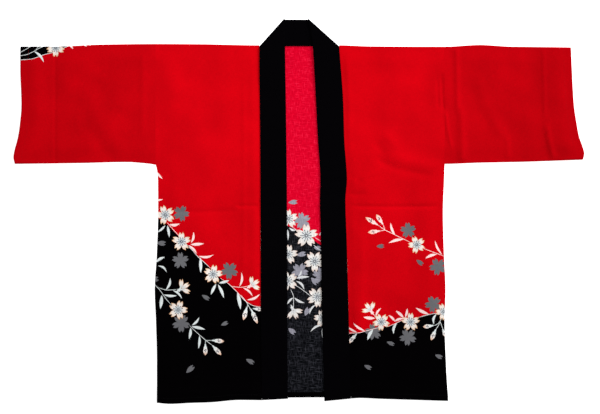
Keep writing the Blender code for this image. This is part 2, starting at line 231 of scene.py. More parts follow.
def creaseRelief(x, y):
    shape = creaseShape
    total = np.zeros_like(x)
    shares = np.linspace(0, 1, shape["pieces"] + 1)
    for row in range(len(creases["height"])):
        start, middle, end = (np.array([creases[f"x{i}"][row], creases[f"y{i}"][row]]) for i in (1, 2, 3))
        handle = 2 * middle - (start + end) / 2
        arc = [start * (1 - t) ** 2 + handle * 2 * t * (1 - t) + end * t**2 for t in shares]
        reach = creases["reach"][row]
        crisp = creases["crisp"][row]
        best = np.zeros_like(x)
        for i, (a, b) in enumerate(zip(arc, arc[1:])):
            run = b - a
            share = np.clip(((x - a[0]) * run[0] + (y - a[1]) * run[1]) / (run @ run), 0, 1)
            away = np.hypot(x - a[0] - run[0] * share, y - a[1] - run[1] * share) / reach
            along = (i + share) / shape["pieces"]
            fade = ease(along / shape["fade"]) * ease((1 - along) / shape["fade"])
            softCrest = np.exp(-(away**2))
            fromCrest = np.sqrt(away**2 + shape["crestRound"]) - shape["crestTop"]
            sharpCrest = np.exp(-shape["crestFall"] * fromCrest)
            best = np.maximum(best, fade * mix(softCrest, sharpCrest, crisp))
        total += best * creases["height"][row]
    return total


ripples = {
    "count": 9,
    "height": 0.12 * mm,
    "shortest": 38 * mm,
    "longest": 150 * mm,
    "leastBend": 0.6,
    "mostBend": 1.4,
    "bendRate": 1.9,
    "seed": 7,
}


def rippleRelief(x, y):
    # cloth that has been handled is never quite flat
    random = np.random.default_rng(ripples["seed"])
    total = np.zeros_like(x)
    for number in range(ripples["count"]):
        turn = random.uniform(0, 2 * pi)
        length = random.uniform(ripples["shortest"], ripples["longest"])
        phase = random.uniform(0, 2 * pi)
        bend = random.uniform(ripples["leastBend"], ripples["mostBend"])
        across = (x * cos(turn) + y * sin(turn)) / length
        along = (y * cos(turn) - x * sin(turn)) / length
        total += np.sin(2 * pi * across + phase + bend * np.sin(ripples["bendRate"] * along + number))
    return total * ripples["height"]


def held(distance, run):
    return ease(distance / run)


def swell(x, y, heldBack):
    # creases run on nearer to the folds and edges than the air under the cloth does
    air = (clothStack["air"] + rippleRelief(x, y)) * heldBack(clothStack["airEdge"])
    return np.clip(air + creaseRelief(x, y) * heldBack(clothStack["creaseEdge"]), 0, clothStack["mostAir"])


def pinch(distance):
    # the two layers drawn together where a seam joins them
    return clothStack["seamPinch"] * (1 - ease(distance / clothStack["pinchRun"]))


def hemRise(aboveHem):
    return 1 - ease((aboveHem - clothStack["hemTurn"] - clothStack["clearOfTurn"]) / clothStack["edgeRun"])


def linear(r, g, b):
    # a colour read as 0 to 255 on a screen
    values = np.array([r, g, b]) / 255
    return np.where(values <= 0.04045, values / 12.92, ((values + 0.055) / 1.055) ** 2.4)


lightLevel = 1.4  # what the studio light makes of a plain white at the middle of the coat
dyeColours = {
    # Each colour as it is seen on the printed face, and on the reverse. It goes above 255 where
    # its places lie in less light than the middle of the coat.
    "red": ((212, 0, 14), (225, 0, 39)),
    # the sleeves' red is deeper: painted shade for the dimmer light out towards the cuffs
    "sleeveRed": ((204, 0, 13), (219, 0, 38)),
    "black": ((1, 0, 1), (7, 8, 12)),
    "collarBlack": ((2, 1, 3), (2, 1, 3)),
    "bareWhite": ((242, 249, 248), (238, 239, 240)),
    "bareShade": ((229, 237, 238), (226, 229, 231)),
    "bareOnRed": ((272, 240, 236), (250, 218, 226)),
    "bareOnRedShade": ((266, 228, 228), (246, 202, 213)),
    "petalHeart": ((224, 231, 233), (226, 230, 231)),
    "petalMiddle": ((255, 244, 235), (247, 243, 238)),
    "petalTip": ((247, 205, 163), (243, 218, 206)),
    "petalRim": ((208, 138, 88), (210, 186, 174)),
    "stamen": ((52, 57, 78), (66, 70, 84)),
    "grey": ((112, 112, 116), (156, 154, 166)),
    "budWhite": ((252, 246, 242), (240, 239, 238)),
    "budOnRed": ((272, 226, 218), (250, 220, 220)),
    "budTip": ((246, 196, 164), (244, 214, 200)),
}
dyes = {
    side: {name: linear(*pair[i]) / lightLevel for name, pair in dyeColours.items()}
    for i, side in enumerate(("face", "reverse"))
}

# The print's shapes, each drawn by formula from a few sizes

petalShape = {
    # along the petal from the blossom's middle, and half its breadth there, as shares of the radius
    "reach": np.array([0.06, 0.24, 0.43, 0.61, 0.77, 0.90, 1.0]),
    "half": np.array([0.05, 0.175, 0.270, 0.303, 0.275, 0.215, 0.150]),
    "notch": 0.76,
    # where the tone turns to the tip's and to the heart's, and over how much of the radius
    "tipFrom": 0.64,
    "tipRun": 0.36,
    "heartFrom": 0.22,
    "heartRun": 0.34,
}
blossomShape = {
    "petals": 5,
    "rim": 0.42 * mm,
    "heart": 0.38,
    "greyHeart": 0.44,
    "greySlim": 1.08,
    "stamens": 10,
    "stamenStart": 0.13,
    "stamenEnd": 0.45,
    "stamenShorter": 0.14,
    "stamenHalf": 0.024,
    "dot": 0.05,
    "dotBeyond": 0.03,
    "dotSides": 6,
    "eye": 0.13,
    "eyeLight": 0.07,
}
halfBlossomShape = {
    "petalFans": (-56, 56, 0),
    "petalSlim": 0.72,
    "cupBack": 0.16,
    # each sepal's turn from the middle, and how far it reaches back and forward
    "sepals": ((0, 0.48, 0.20), (-38, 0.30, 0.36), (38, 0.30, 0.36)),
    "sepalWidth": 0.24,
}
leafShape = {"steps": 8, "slim": 0.80, "swell": 0.95}
budShape = {
    "steps": 7,
    "slim": 0.86,
    "cupAt": 0.26,
    "calyx": 0.42,
    "calyxWidth": 0.42,
    "sepalFans": (-0.62, 0.62),
    "sepalFrom": 0.2,
    "sepalLength": 0.24,
    "sepalWidth": 0.3,
    "cupSwell": 0.9,
    # each dark line's turn from the middle, and where it starts
    "lines": ((0.96, 0.50), (-0.90, 0.54), (0.06, 0.60)),
    "lineLength": 0.14,
    "lineHalf": 0.026,
}
stemShape = {"half": 0.55 * mm, "step": 5 * mm, "endShare": 0.5, "taper": 3}
lensEnds = 0.9  # below 1 the ends of leaves, buds and sepals are blunter


def inked(points, paint, centre=(0, 0), radius=1, tip=None):
    # one printed shape; with a tip it changes tone away from its centre
    points, centre = np.array(points), np.array(centre)
    return {"points": points, "paint": paint, "tip": tip, "centre": centre, "radius": radius}


def aimed(turn):
    return np.array([cos(turn), sin(turn)])


def turnedFrom(centre, turn, along, across):
    return np.column_stack([
        centre[0] + along * cos(turn) - across * sin(turn),
        centre[1] + along * sin(turn) + across * cos(turn),
    ])


def disc(centre, radius, count=10):
    turns = np.linspace(0, 2 * pi, count, endpoint=False)
    return np.column_stack([centre[0] + radius * np.cos(turns), centre[1] + radius * np.sin(turns)])


def stroke(centre, turn, start, end, half):
    return turnedFrom(centre, turn, np.array([start, end, end, start]), np.array([-half, -half, half, half]))


def petalOutline(centre, radius, turn, grow=0, slim=1):
    shape = petalShape
    reach = radius * shape["reach"] + grow * (2 * shape["reach"] - 1)
    half = radius * shape["half"] * slim + grow
    along = np.concatenate([reach, [radius * shape["notch"] + grow], reach[::-1]])
    return turnedFrom(centre, turn, along, np.concatenate([-half, [0], half[::-1]]))


def petal(centre, radius, turn, slim=1):
    # a pale petal inside its own darker rim
    return [
        inked(petalOutline(centre, radius, turn, blossomShape["rim"], slim), "petalRim"),
        inked(petalOutline(centre, radius, turn, 0, slim), "petalMiddle", centre, radius, "petalTip"),
    ]


def petalTurns(turn):
    count = blossomShape["petals"]
    return [radians(turn) + 2 * pi * k / count for k in range(count)]


def greyBlossom(x, y, radius, turn):
    shape = blossomShape
    petals = [inked(petalOutline((x, y), radius, a, 0, shape["greySlim"]), "grey") for a in petalTurns(turn)]
    return petals + [inked(disc((x, y), radius * shape["greyHeart"]), "grey")]


def blossom(x, y, radius, turn):
    shape = blossomShape
    centre = (x, y)
    petals = [petal(centre, radius, a) for a in petalTurns(turn)]
    drawn = [rim for rim, _ in petals] + [inside for _, inside in petals]
    drawn.append(inked(disc(centre, radius * shape["heart"]), "petalHeart"))
    for k in range(shape["stamens"]):
        a = radians(turn) + 2 * pi * (k + 0.5) / shape["stamens"]
        end = shape["stamenEnd"] * (1 - shape["stamenShorter"] * (k % 2))
        half = radius * shape["stamenHalf"]
        drawn.append(inked(stroke(centre, a, radius * shape["stamenStart"], radius * end, half), "stamen"))
        tip = np.array(centre) + radius * (end + shape["dotBeyond"]) * aimed(a)
        drawn.append(inked(disc(tip, radius * shape["dot"], shape["dotSides"]), "stamen"))
    drawn.append(inked(disc(centre, radius * shape["eye"]), "stamen"))
    drawn.append(inked(disc(centre, radius * shape["eyeLight"], shape["dotSides"]), "petalHeart"))
    return drawn


def halfBlossom(x, y, radius, turn):
    # three petals seen from the side, over a small cup
    shape = halfBlossomShape
    drawn = []
    for fan in shape["petalFans"]:
        drawn += petal((x, y), radius, radians(turn + fan), shape["petalSlim"])
    cup = np.array([x, y]) - shape["cupBack"] * radius * aimed(radians(turn))
    for fan, back, reach in shape["sepals"]:
        forward = aimed(radians(turn + fan))
        start, end = cup - back * radius * forward, cup + reach * radius * forward
        drawn += leaf(*start, *end, shape["sepalWidth"] * radius, 0)
    return drawn


def lens(x1, y1, x2, y2, width, bend, steps, swellPower):
    # a pointed shape along a bent line, wider where swellPower sends it
    t = np.linspace(0, 1, steps + 1)
    run = np.array([x2 - x1, y2 - y1])
    length = np.hypot(*run)
    forward = run / length
    sideways = np.array([-forward[1], forward[0]])
    middle = np.column_stack([x1 + run[0] * t, y1 + run[1] * t]) + np.outer(bend * np.sin(pi * t), sideways)
    half = width / 2 * np.sin(pi * t**swellPower) ** lensEnds
    left = middle + np.outer(half, sideways)
    right = middle - np.outer(half, sideways)
    return np.concatenate([right, left[-2:0:-1]])


def leaf(x1, y1, x2, y2, width, bend):
    # a slim leaf, one side of its middle line in shade
    steps = leafShape["steps"]
    edge = lens(x1, y1, x2, y2, width * leafShape["slim"], bend, steps, leafShape["swell"])
    rightEdge = edge[: steps + 1]
    leftEdge = np.concatenate([edge[:1], edge[:steps:-1], edge[steps : steps + 1]])
    middle = (rightEdge + leftEdge) / 2
    return [inked(edge, "bareWhite"), inked(np.concatenate([rightEdge, middle[-2:0:-1]]), "bareShade")]


def bud(x1, y1, x2, y2, width):
    # petals still closed, over a small cup with two sepals
    shape = budShape
    base, tip = np.array([x1, y1]), np.array([x2, y2])
    length = np.hypot(*(tip - base))
    turn = np.arctan2(y2 - y1, x2 - x1)
    width = width * shape["slim"]
    cup, calyxEnd, sepalStart = (mix(base, tip, shape[key]) for key in ("cupAt", "calyx", "sepalFrom"))
    drawn = [
        inked(lens(*cup, *tip, width, 0, shape["steps"], 1.0), "budWhite", base, length, "budTip"),
        inked(lens(*base, *calyxEnd, width * shape["calyxWidth"], 0, 4, shape["cupSwell"]), "bareShade"),
    ]
    for fan in shape["sepalFans"]:
        end = cup + shape["sepalLength"] * length * aimed(turn + fan)
        sepal = lens(*sepalStart, *end, width * shape["sepalWidth"], 0, 3, shape["cupSwell"])
        drawn.append(inked(sepal, "bareWhite"))
    for fan, start in shape["lines"]:
        end, half = shape["lineLength"] * length, shape["lineHalf"] * length
        drawn.append(inked(stroke(mix(base, tip, start), turn + fan, 0, end, half), "stamen"))
    return drawn


def fallenPetal(x1, y1, x2, y2, width):
    # one loose petal, notched at its second end
    length = np.hypot(x2 - x1, y2 - y1)
    turn = np.arctan2(y2 - y1, x2 - x1)
    slim = width / (2 * petalShape["half"].max() * length)
    return [inked(petalOutline((x1, y1), length, turn, 0, slim), "grey")]


def stem(*places):
    # a thin line of bare cloth through its places, thinner at both ends
    points = np.array(places) * mm
    lengths = np.concatenate([[0], np.cumsum(np.hypot(*np.diff(points, axis=0).T))])
    at = spread(0, lengths[-1], stemShape["step"])
    if len(points) > 2:
        rows = {"at": lengths, "x": points[:, 0], "y": points[:, 1]}
        line = np.column_stack([follow(rows, "at", at, "x"), follow(rows, "at", at, "y")])
    else:
        line = np.column_stack([np.interp(at, lengths, points[:, i]) for i in (0, 1)])
    forward = np.gradient(line, axis=0)
    forward /= np.hypot(*forward.T)[:, None]
    sideways = np.column_stack([-forward[:, 1], forward[:, 0]])
    fromEnd = np.minimum(at, lengths[-1] - at) / lengths[-1]
    half = stemShape["half"] * np.clip(stemShape["taper"] * fromEnd + stemShape["endShare"], 0, 1)
    left = line + sideways * half[:, None]
    right = line - sideways * half[:, None]
    return [inked(np.concatenate([right, left[::-1]]), "bareWhite")]


def spray(parts):
    # One panel's print, the lowest shapes first. A row's first numbers are lengths, and a stem
    # takes its places as they are.
    drawn = []
    for kind, draw, lengths in (
        ("greyBlossoms", greyBlossom, 3), ("fallenPetals", fallenPetal, 5), ("stems", stem, 0),
        ("leaves", leaf, 6), ("buds", bud, 5), ("halfBlossoms", halfBlossom, 3), ("blossoms", blossom, 3),
    ):
        for row in parts.get(kind, ()):
            drawn += draw(*(value * mm for value in row[:lengths]), *row[lengths:])
    return drawn


def flatMesh(columns, rows, foldColumns, foldRows, drawn):
    # the cut of one piece laid flat, divided along its grid and round everything printed on it
    width, length = columns[-1], rows[-1]
    points = [np.array([(u, v) for v in rows for u in columns])]
    count = len(points[0])
    across = len(columns)
    faces = [[0, across - 1, count - 1, count - across]]
    edges = [(j * across + i, j * across + i + 1) for j in foldRows for i in range(across - 1)]
    edges += [(j * across + i, (j + 1) * across + i) for i in foldColumns for j in range(len(rows) - 1)]
    for shape in drawn:
        edge = shape["flat"]
        following = np.roll(edge, -1, axis=0)
        turnsLeft = np.sum(edge[:, 0] * following[:, 1] - following[:, 0] * edge[:, 1]) > 0
        ids = list(range(count, count + len(edge)))
        faces.append(ids if turnsLeft else ids[::-1])
        points.append(edge)
        count += len(edge)
    # 1 keeps the triangles inside the outlines, and within names the outlines each lies in
    inMillimetres = [tuple(p) for p in np.concatenate(points) / mm]
    verts, _, triangles, _, _, within = delaunay_2d_cdt(inMillimetres, edges, faces, 1, closeTo / mm, True)
    verts = np.array([tuple(v) for v in verts]) * mm
    kept = [(t, max(w)) for t, w in zip(triangles, within) if 0 in w and len(t) == 3]
    triangles = np.array([t for t, _ in kept])
    printedBy = np.array([top for _, top in kept]) - 1
    verts[:, 0] = np.clip(verts[:, 0], 0, width)
    verts[:, 1] = np.clip(verts[:, 1], 0, length)
    return verts, triangles, printedBy


def gridMesh(columns, rows):
    across = len(columns)
    verts = np.array([(u, v) for v in rows for u in columns])
    starts = [j * across + i for j in range(len(rows) - 1) for i in range(across - 1)]
    quads = np.array([(a, a + 1, a + 1 + across, a + across) for a in starts])
    return verts, quads, np.full(len(quads), -1)


def wallNormals(place, flat):
    step = 0.02 * mm
    u, v = flat.T
    alongU = place(u + step, v) - place(u - step, v)
    alongV = place(u, v + step) - place(u, v - step)
    normals = np.cross(alongU, alongV)
    return normals / np.linalg.norm(normals, axis=1)[:, None]


def placed(name, data):
    thing = bpy.data.objects.new(name, data)
    bpy.context.scene.collection.objects.link(thing)
    return thing


def dyeAt(shape, where, side):
    palette = dyes[side]
    paint = palette[shape["paint"]]
    if shape["tip"] is None:
        return np.broadcast_to(paint, (len(where), 3))
    out = np.hypot(*(where - shape["centre"]).T) / shape["radius"]
    towardsTip = ease((out - petalShape["tipFrom"]) / petalShape["tipRun"])[:, None]
    towardsHeart = (1 - ease((out - petalShape["heartFrom"]) / petalShape["heartRun"]))[:, None]
    colour = mix(paint, palette[shape["tip"]], towardsTip)
    return mix(colour, palette["petalHeart"], towardsHeart * (shape["paint"] == "petalMiddle"))


def dyedCorners(cornerFlat, printedBy, drawn, ground, side):
    colours = np.tile(dyes[side][ground], (*cornerFlat.shape[:2], 1))
    for number, shape in enumerate(drawn):
        mine = printedBy == number
        if mine.any():
            where = cornerFlat[mine].reshape(-1, 2)
            colours[mine] = dyeAt(shape, where, side).reshape(-1, cornerFlat.shape[1], 3)
    return colours


def makeCloth(name, flat, faces, printedBy, place, mirrored, sides, drawn=(), ground="red", weld=False):
    # two walls either side of the surface, and the cut edge that joins them
    surface = place(*flat.T)
    normals = wallNormals(place, flat)
    if mirrored:
        faces = faces[:, ::-1]
        normals = -normals
    ids = np.arange(len(flat))
    if weld:
        top = flat[:, 1].max()
        first = {round(u, 7): i for i, (u, v) in enumerate(flat) if v < closeTo}
        for i in np.nonzero(flat[:, 1] > top - closeTo)[0]:
            ids[i] = first.get(round(flat[i, 0], 7), i)
    used, compact = np.unique(ids[faces], return_inverse=True)
    welded = compact.reshape(faces.shape)
    count = len(used)
    outer = surface[used] + normals[used] * wall / 2
    inner = surface[used] - normals[used] * wall / 2

    # edges that only one face uses are the cloth's cut edges
    starts = welded.ravel()
    ends = np.roll(welded, -1, axis=1).ravel()
    owners = np.repeat(np.arange(len(welded)), welded.shape[1])
    twin = set(zip(starts.tolist(), ends.tolist()))
    rims = [(a, b, f) for a, b, f in zip(starts.tolist(), ends.tolist(), owners.tolist()) if (b, a) not in twin]

    polygons = welded.tolist()
    polygons += [[v + count for v in reversed(p)] for p in welded.tolist()]
    polygons += [[b, a, a + count, b + count] for a, b, _ in rims]
    mesh = bpy.data.meshes.new(name)
    mesh.from_pydata(np.concatenate([outer, inner]).tolist(), [], polygons)

    # the cut's own coordinates and the dye, with the sleeves' painted shade, go with every corner, on both
    # faces of the cloth
    cornerFlat = flat[faces]
    colours, innerColours = (dyedCorners(cornerFlat, printedBy, drawn, ground, side) for side in sides)
    rimCorners = [(f, welded[f].tolist().index(v)) for a, b, f in rims for v in (b, a, a, b)]
    allFlat, allColours = (
        np.concatenate([
            outside.reshape(-1, size),
            inside[:, ::-1].reshape(-1, size),
            [outside[corner] for corner in rimCorners],
        ])
        for outside, inside, size in ((cornerFlat, cornerFlat, 2), (colours, innerColours, 3))
    )
    cut = mesh.uv_layers.new(name="cut")
    cut.data.foreach_set("uv", allFlat.ravel())
    dye = mesh.color_attributes.new("dye", "FLOAT_COLOR", "CORNER")
    dye.data.foreach_set("color", np.column_stack([allColours, np.ones(len(allColours))]).ravel())
    materials = [clothFinish[side] for side in dict.fromkeys(sides)]
    for finish in materials:
        mesh.materials.append(finish)
    half = len(welded)
    slots = np.zeros(len(polygons), dtype=int)
    slots[half : 2 * half] = len(materials) - 1
    mesh.polygons.foreach_set("material_index", slots)
    mesh.polygons.foreach_set("use_smooth", np.ones(len(polygons), dtype=bool))
    mesh.update()
    mesh.set_sharp_from_angle(angle=radians(clothStack["sharpAngle"]))
    print("coat:", name, len(polygons), "faces")
    return placed(name, mesh)


paintOnRed = {"bareWhite": "bareOnRed", "bareShade": "bareOnRedShade", "budWhite": "budOnRed"}


def printed(parts, toFlat):
    # the black ground and every shape of a panel's print, carried from where it is seen to the cut
    ground = inked(np.array(parts["blackGround"]) * mm, "black")
    drawn = [ground] + spray(parts)
    redEdge = np.array(parts["redEdge"]) * mm
    for shape in drawn:
        middle = shape["points"].mean(axis=0)
        above = middle[1] > np.interp(middle[0], redEdge[:, 0], redEdge[:, 1])
        if shape["paint"] in paintOnRed and above != parts.get("redBelow", False):
            shape["paint"] = paintOnRed[shape["paint"]]
        shape["flat"] = toFlat(shape["points"])
        shape["centre"] = toFlat(shape["centre"][None, :])[0]
    return drawn


# What the cloth is made of

wovenCloth = {
    "thread": 0.6 * mm,
    "threadRun": 9 * mm,
    "slubLength": 14 * mm,
    "slubWidth": 1.8 * mm,
    "slubNoise": (0.48, 0.74),
    "cloud": 80 * mm,
    "cloudStretch": 1.6,
    # the shares of the threads' noise that count as thin and thick, and how rough each is
    "toneNoise": (0.3, 0.7),
    "roughness": (0.96, 0.84),
    "bumpDepth": 0.25 * mm,
    "shine": 0.015,
}
clothFinishes = {
    "printed cotton face": {
        "contrast": 0.13, "slubGain": 0.10, "cloud": 0.42, "slub": 0.6, "lift": 0, "bump": 0.12,
    },
    "printed cotton reverse": {
        "contrast": 0.18, "slubGain": 0.34, "cloud": 0.22, "slub": 1, "lift": 0.030, "bump": 0.35,
    },
    "collar cotton": {
        "contrast": 0.25, "slubGain": 0.20, "cloud": 0.30, "slub": 0.6, "lift": 0, "bump": 0.20,
    },
}
slubShades = (-0.4, 0.6)  # how much of slubGain the thin and the thick places take
reverseLift = {
    # on the reverse the thick threads show paler, and pinker where the dye is red
    "redWeight": 1.9,
    "steepness": (3, 1.6),  # on red, on black
    "Red": (0, 1),
    "Green": (0.36, 1),
    "Blue": (0.95, 1.25),
}


def addNode(tree, kind, **settings):
    node = tree.nodes.new(kind)
    for key, value in settings.items():
        setattr(node, key, value)
    return node


def feed(tree, socket, value):
    # a socket takes another node's output or a fixed value
    if isinstance(value, bpy.types.NodeSocket):
        tree.links.new(value, socket)
    else:
        socket.default_value = value


def calculate(tree, operation, *values, clamp=False):
    node = addNode(tree, "ShaderNodeMath", operation=operation, use_clamp=clamp)
    for socket, value in zip(node.inputs, values):
        feed(tree, socket, value)
    return node.outputs[0]


def calculateVector(tree, operation, a, b):
    node = addNode(tree, "ShaderNodeVectorMath", operation=operation)
    feed(tree, node.inputs[0], a)
    feed(tree, node.inputs["Scale" if operation == "SCALE" else 1], b)
    return node.outputs[0]


def ranged(tree, value, fromLow, fromHigh, low, high):
    node = tree.nodes.new("ShaderNodeMapRange")
    for label, number in (
        ("Value", value), ("From Min", fromLow), ("From Max", fromHigh), ("To Min", low), ("To Max", high),
    ):
        feed(tree, node.inputs[label], number)
    return node.outputs["Result"]


def stretchedNoise(tree, vector, across, along, detail):
    # noise drawn out along one thread: the sizes are its width and its length
    noise = tree.nodes.new("ShaderNodeTexNoise")
    scaled = calculateVector(tree, "MULTIPLY", vector, (1 / across, 1 / along, 1))
    for label, value in (("Scale", 1), ("Detail", detail), ("Vector", scaled)):
        feed(tree, noise.inputs[label], value)
    return noise.outputs["Fac"]


def shaderGroup(name, inputs, outputs):
    group = bpy.data.node_groups.new(name, "ShaderNodeTree")
    for label, kind, value in inputs:
        socket = group.interface.new_socket(label, in_out="INPUT", socket_type=kind)
        if value is not None:
            socket.default_value = value
    for label in outputs:
        group.interface.new_socket(label, in_out="OUTPUT", socket_type="NodeSocketFloat")
    return group, group.nodes.new("NodeGroupInput"), group.nodes.new("NodeGroupOutput")


def slubWeaveGroup():
    # plain weave whose threads vary, with thick short slubs in both directions
    sizes = wovenCloth
    group, entry, leave = shaderGroup(
        "slub weave",
        (("Vector", "NodeSocketVector", None), ("Slub", "NodeSocketFloat", 0.5)),
        ("Tone", "Slubs", "Height"),
    )
    vector = entry.outputs["Vector"]
    warp = stretchedNoise(group, vector, sizes["thread"], sizes["threadRun"], 2)
    weft = stretchedNoise(group, vector, sizes["threadRun"], sizes["thread"], 2)
    slubWeft = stretchedNoise(group, vector, sizes["slubLength"], sizes["slubWidth"], 1)
    slubWarp = stretchedNoise(group, vector, sizes["slubWidth"], sizes["slubLength"], 1)
    thick = ranged(group, calculate(group, "MAXIMUM", slubWeft, slubWarp), *sizes["slubNoise"], 0, 1)
    slubs = calculate(group, "MULTIPLY", thick, entry.outputs["Slub"])
    threads = calculate(group, "MULTIPLY", calculate(group, "ADD", warp, weft), 0.5)
    feed(group, leave.inputs["Tone"], threads)
    feed(group, leave.inputs["Slubs"], slubs)
    feed(group, leave.inputs["Height"], calculate(group, "ADD", threads, slubs))
    return group


def dyeCloudGroup():
    # the slow unevenness of a dyed length
    group, entry, leave = shaderGroup(
        "dye cloud",
        (("Vector", "NodeSocketVector", None), ("Amount", "NodeSocketFloat", 0.1)),
        ("Shade",),
    )
    size = wovenCloth["cloud"]
    cloud = stretchedNoise(group, entry.outputs["Vector"], size, size * wovenCloth["cloudStretch"], 3)
    swing = calculate(group, "MULTIPLY", calculate(group, "SUBTRACT", cloud, 0.5), entry.outputs["Amount"])
    feed(group, leave.inputs["Shade"], calculate(group, "ADD", swing, 1))
    return group


slubWeave = slubWeaveGroup()
dyeCloud = dyeCloudGroup()


def newFinish(name):
    finish = bpy.data.materials.new(name)
    finish.use_nodes = True
    return finish, finish.node_tree, finish.node_tree.nodes["Principled BSDF"]


def cottonFinish(name):
    values = clothFinishes[name]
    finish, tree, shader = newFinish(name)
    cut = addNode(tree, "ShaderNodeUVMap", uv_map="cut")
    # the dye colours also carry the painted shade of the sleeves' deeper red
    dye = addNode(tree, "ShaderNodeAttribute", attribute_name="dye").outputs["Color"]
    weave = addNode(tree, "ShaderNodeGroup", node_tree=slubWeave)
    cloud = addNode(tree, "ShaderNodeGroup", node_tree=dyeCloud)
    weave.inputs["Slub"].default_value = values["slub"]
    cloud.inputs["Amount"].default_value = values["cloud"]
    for group in (weave, cloud):
        feed(tree, group.inputs["Vector"], cut.outputs["UV"])
    tone, slubs = weave.outputs["Tone"], weave.outputs["Slubs"]
    threadShade = ranged(tree, tone, *wovenCloth["toneNoise"], 1 - values["contrast"], 1 + values["contrast"])
    slubShade = ranged(tree, slubs, 0, 1, *(1 + share * values["slubGain"] for share in slubShades))
    shade = calculate(tree, "MULTIPLY", threadShade, slubShade)
    shade = calculate(tree, "MULTIPLY", shade, cloud.outputs["Shade"])
    colour = calculateVector(tree, "SCALE", dye, shade)
    if values["lift"]:
        parts = tree.nodes.new("ShaderNodeSeparateColor")
        feed(tree, parts.inputs["Color"], dye)
        redness = calculate(tree, "MULTIPLY", parts.outputs["Red"], reverseLift["redWeight"])
        dark = calculate(tree, "SUBTRACT", 1, redness, clamp=True)
        steepness = ranged(tree, dark, 0, 1, *reverseLift["steepness"])
        threads = calculate(tree, "MULTIPLY", calculate(tree, "POWER", slubs, steepness), values["lift"])
        lift = tree.nodes.new("ShaderNodeCombineColor")
        for channel in ("Red", "Green", "Blue"):
            share = ranged(tree, dark, 0, 1, *reverseLift[channel])
            feed(tree, lift.inputs[channel], calculate(tree, "MULTIPLY", threads, share))
        colour = calculateVector(tree, "ADD", colour, lift.outputs[0])
    bump = tree.nodes.new("ShaderNodeBump")
    roughness = ranged(tree, tone, *wovenCloth["toneNoise"], *wovenCloth["roughness"])
    for socket, value in (
        (bump.inputs["Strength"], values["bump"]), (bump.inputs["Distance"], wovenCloth["bumpDepth"]),
        (bump.inputs["Height"], weave.outputs["Height"]), (shader.inputs["Base Color"], colour),
        (shader.inputs["Roughness"], roughness), (shader.inputs["Normal"], bump.outputs["Normal"]),
        (shader.inputs["Metallic"], 0), (shader.inputs["Specular IOR Level"], wovenCloth["shine"]),
    ):
        feed(tree, socket, value)
    return finish


clothFinish = {
    "face": cottonFinish("printed cotton face"),
    "reverse": cottonFinish("printed cotton reverse"),
    "collar": cottonFinish("collar cotton"),
}
dyes["collar"] = dyes["face"]

# The collar band: where its sewn edge and its free edge cross each height, and how much
# higher the free end of a section lies

collarBand = {
    "left": table(
        "y seam free tilt",
        (-414.9, -81.1, -23.9, 3.1), (-380, -81.4, -24.3, 0), (-217, -83.3, -25.2, 0), (25, -84.1, -26.1, 0),
        (223, -85.5, -28.3, 0), (304, -86.5, -29.6, 0), (334, -86.6, -30.4, 29.6), (363.1, -86.6, -32.7, 60.2),
    ),
    "right": table(
        "y seam free tilt",
        (-411.5, 114.3, 56.0, -5.8), (-380, 113.3, 55.2, 0), (-217, 109.0, 50.5, 0), (-63, 105.0, 48.3, 0),
        (25, 102.2, 46.3, 0), (69, 105.5, 47.2, 0), (157, 99.8, 41.9, 0), (245, 97.1, 37.3, 0),
        (304, 93.0, 34.0, 0), (334, 90.6, 30.3, 29.6), (363.1, 88.3, 21.2, 60.2),
    ),
    "leftKinks": table("y height reach", (25, 0.8, 6), (3, 0.4, 9)),
    "rightKinks": table("y height reach", (79, 0.7, 7), (50, 0.9, 7), (17, 0.6, 5)),
    "innerFold": foldRadius,
    "outerFold": foldRadius + layer,
    "neckRun": 55 * mm,
    "width": 57 * mm,
    "puff": 0.35 * mm,
    "puffRun": 30 * mm,
    "puffEdge": 0.2,
    "puffPower": 0.8,
    "cornerRun": 12 * mm,
    "bendSteps": 10,
    "stepAlong": 5 * mm,
    "stepAcross": 4 * mm,
}
cornerInset = collarBand["outerFold"] + wall / 2
cornerHeight = wall / 2 + collarBand["outerFold"]


def collarSeam(y, right):
    return follow(collarBand[sideName(right)], "y", y, "seam")


# The print as it is seen from above, in millimetres. A blossom is x, y, radius and turn; a
# half blossom the same; a leaf its two ends, width and bend; a bud and a fallen petal their
# two ends and width; a stem the places that it passes through.

